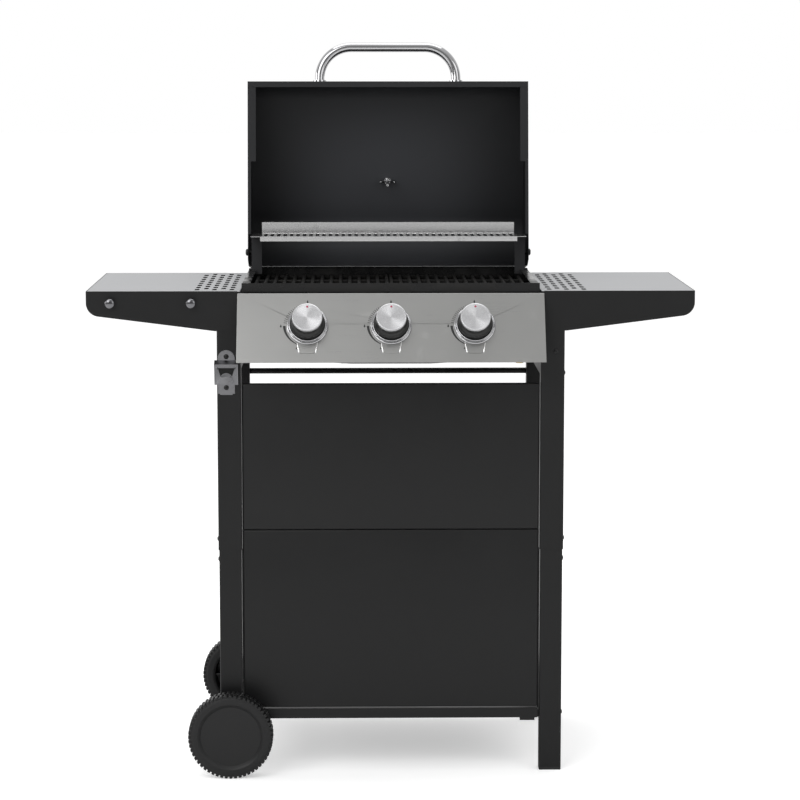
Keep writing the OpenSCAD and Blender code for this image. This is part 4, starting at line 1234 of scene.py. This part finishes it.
class BBQ_OT_wheels(bpy.types.Operator):
    """Turns both wheels and sets their tread lugs"""

    bl_idname = "bbq.wheels"
    bl_label = "Wheels"

    def execute(self, context):
        for end, outward in (("front", -1), ("rear", 1)):
            self.wheel(end, outward)
        return {"FINISHED"}

    def wheel(self, end, outward):
        node = "wheel_" + end
        low, high = (Vector(c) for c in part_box(node))
        rubber = MADE["wheel_plastic"]
        radius = (high.z - low.z) / 2
        face_y = low.y if outward < 0 else high.y
        z = Vector((0, -outward, 0))
        x = Vector((1, 0, 0))
        place = Matrix((x, z.cross(x), z)).transposed().to_4x4()
        place.translation = Vector(((low.x + high.x) / 2, face_y, (low.z + high.z) / 2))
        width = 38 * MM
        reach = high.y - low.y
        r = radius / MM
        points = [(0, 6), (54, 6), (56.5, 3.4), (58.5, 1.0), (60, 0.2), (67, 0.2), (r - 4, 1.6), (r - 1.9, 5),
                  (r - 1.9, 33), (r - 4, 36.4), (67, 37.8), (57, 37.8), (52, 35.5), (51, 10.5), (14, 10.5),
                  (11, 13), (11, reach / MM), (5.06, reach / MM), (5.06, 11), (0, 11)]
        outline = [(p.x * MM, p.y * MM) for p in corner_arcs([Vector(p) for p in points], 1.6, 3)]
        body = turned_piece("wheel_body", outline, place, rubber, steps=96)
        count = sizes().tread_lugs
        pieces = [body]
        for row, phase in ((0, 0), (1, 0.5)):
            y0, y1 = ((1.6, 17.9), (20.1, width / MM - 1.6))[row]
            half = math.pi * r / count * 0.62
            lug = block("lug", ((r - 5) * MM, -half * MM, y0 * MM), (r * MM, half * MM, y1 * MM),
                        0.6 * MM, rubber)
            lugs = repeated(lug, count, rubber, turn=(0, 0, 2 * math.pi / count))
            lugs = moved(lugs, place @ Matrix.Rotation(phase * 2 * math.pi / count, 4, "Z"))
            pieces.append(lugs)
        spoke = block("spoke", (10 * MM, -1.5 * MM, 10 * MM), (51.5 * MM, 1.5 * MM, 30 * MM),
                      0.5 * MM, rubber)
        spokes = repeated(spoke, 8, rubber, turn=(0, 0, math.pi / 4))
        pieces.append(moved(spokes, place))
        attach(joined(node + "_moulded", pieces), BODY_OF[node], "wheel_plastic", node)


class BBQ_OT_stage(bpy.types.Operator):
    """Lays the floor and sets the light and the camera"""

    bl_idname = "bbq.stage"
    bl_label = "Stage"

    def execute(self, context):
        self.floor()
        self.light("key", (-3.0, -4.6, 4.2), 4.2, 150)
        self.light("fill", (3.6, -3.8, 2.6), 3.4, 45)
        self.light("side", (-4.2, 0.4, 1.6), 1.6, 40)
        self.light("top", (0, 0.8, 4.6), 3.6, 70)
        self.sky()
        self.camera()
        return {"FINISHED"}

    def sky(self):
        """A white backdrop behind, a dim room in front and a soft ceiling."""
        world = bpy.data.worlds.new("studio")
        bpy.context.scene.world = world
        world.use_nodes = True
        nodes, links = world.node_tree.nodes, world.node_tree.links
        room = nodes["Background"]
        seen = nodes.new("ShaderNodeBackground")
        seen.inputs["Color"].default_value = (1, 1, 1, 1)
        where = nodes.new("ShaderNodeTexCoord")
        split = nodes.new("ShaderNodeSeparateXYZ")
        links.new(where.outputs["Generated"], split.inputs[0])
        value = None
        for axis, low, high, start, end in (("Y", -0.3, 0.6, 0.24, 1.0), ("Z", 0.15, 0.9, None, 0.72)):
            node = nodes.new("ShaderNodeMapRange")
            node.interpolation_type = "SMOOTHSTEP"
            node.inputs["From Min"].default_value = low
            node.inputs["From Max"].default_value = high
            if start is not None:
                node.inputs["To Min"].default_value = start
                node.inputs["To Max"].default_value = end
                links.new(split.outputs[axis], node.inputs["Value"])
                value = node.outputs["Result"]
            else:
                links.new(split.outputs[axis], node.inputs["Value"])
                blend = nodes.new("ShaderNodeMix")
                links.new(node.outputs["Result"], blend.inputs["Factor"])
                links.new(value, blend.inputs["A"])
                blend.inputs["B"].default_value = end
                value = blend.outputs["Result"]
        links.new(value, room.inputs["Strength"])
        room.inputs["Color"].default_value = (1, 1, 1, 1)
        path = nodes.new("ShaderNodeLightPath")
        choose = nodes.new("ShaderNodeMixShader")
        links.new(path.outputs["Is Camera Ray"], choose.inputs[0])
        links.new(room.outputs[0], choose.inputs[1])
        links.new(seen.outputs[0], choose.inputs[2])
        links.new(choose.outputs[0], nodes["World Output"].inputs["Surface"])

    def floor(self):
        bm = bmesh.new()
        bmesh.ops.create_grid(bm, x_segments=2, y_segments=2, size=40)
        mesh = bpy.data.meshes.new("floor")
        bm.to_mesh(mesh)
        bm.free()
        s = Surface("floor_paint", colours().floor, rough=0.8)
        s.shade(s.noise(0.6), 0.98, 1.02)
        path = s.node("ShaderNodeLightPath")
        glow = s.node("ShaderNodeMath", operation="MULTIPLY")
        glow.inputs[1].default_value = FLOOR_GLOW
        s.link(path.outputs["Is Camera Ray"], glow.inputs[0])
        s.link(glow.outputs[0], s.shader.inputs["Emission Strength"])
        obj = new_object("floor", mesh, s.done(Specular_IOR_Level=0.2, Emission_Color=(1, 1, 1, 1)))

    def light(self, name, at, size, power):
        lamp = bpy.data.lights.new(name, "AREA")
        lamp.size = size
        lamp.energy = power
        obj = bpy.data.objects.new(name, lamp)
        obj.location = at
        aim = Vector((0, 0, 0.7)) - Vector(at)
        obj.rotation_euler = aim.to_track_quat("-Z", "Y").to_euler()
        bpy.context.scene.collection.objects.link(obj)

    def camera(self):
        camera = bpy.data.cameras.new("camera")
        camera.sensor_width = 36
        camera.lens = CAMERA_LENS
        obj = bpy.data.objects.new("camera", camera)
        front = min(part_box(n)[0][1] for n in NODES if n.startswith("upper_leg_front"))
        obj.location = (CAMERA_X, front - CAMERA_DISTANCE, CAMERA_HEIGHT)
        obj.rotation_euler = (math.pi / 2 - CAMERA_DOWN, 0, CAMERA_TURN)
        bpy.context.scene.collection.objects.link(obj)
        bpy.context.scene.camera = obj
        bpy.context.scene.view_settings.view_transform = "Standard"


STEPS = (BBQ_OT_materials, BBQ_OT_frame, BBQ_OT_front_panels, BBQ_OT_screws, BBQ_OT_firebox, BBQ_OT_lid,
         BBQ_OT_panel, BBQ_OT_knobs, BBQ_OT_fittings, BBQ_OT_gas_train, BBQ_OT_wheels, BBQ_OT_stage)


class BBQ_PT_panel(bpy.types.Panel):
    """Lists the colours, the sizes and the steps"""

    bl_label = "Gas barbecue"
    bl_idname = "BBQ_PT_panel"
    bl_space_type = "VIEW_3D"
    bl_region_type = "UI"
    bl_category = "Barbecue"

    def draw(self, context):
        layout = self.layout
        for group in (context.scene.bbq_colours, context.scene.bbq_sizes):
            box = layout.box()
            for name in group.__annotations__:
                box.prop(group, name)
        for step in STEPS:
            layout.operator(step.bl_idname)


CLASSES = (FinishColours, FinishSizes) + STEPS + (BBQ_PT_panel,)


def register():
    for cls in CLASSES:
        bpy.utils.register_class(cls)
    bpy.types.Scene.bbq_colours = bpy.props.PointerProperty(type=FinishColours)
    bpy.types.Scene.bbq_sizes = bpy.props.PointerProperty(type=FinishSizes)


def unregister():
    del bpy.types.Scene.bbq_sizes
    del bpy.types.Scene.bbq_colours
    for cls in reversed(CLASSES):
        bpy.utils.unregister_class(cls)


def main():
    register()
    for step in STEPS:
        group, name = step.bl_idname.split(".")
        result = getattr(getattr(bpy.ops, group), name)()
        if result != {"FINISHED"}:
            raise RuntimeError("step %s did not finish" % name)


if __name__ == "__main__":
    main()
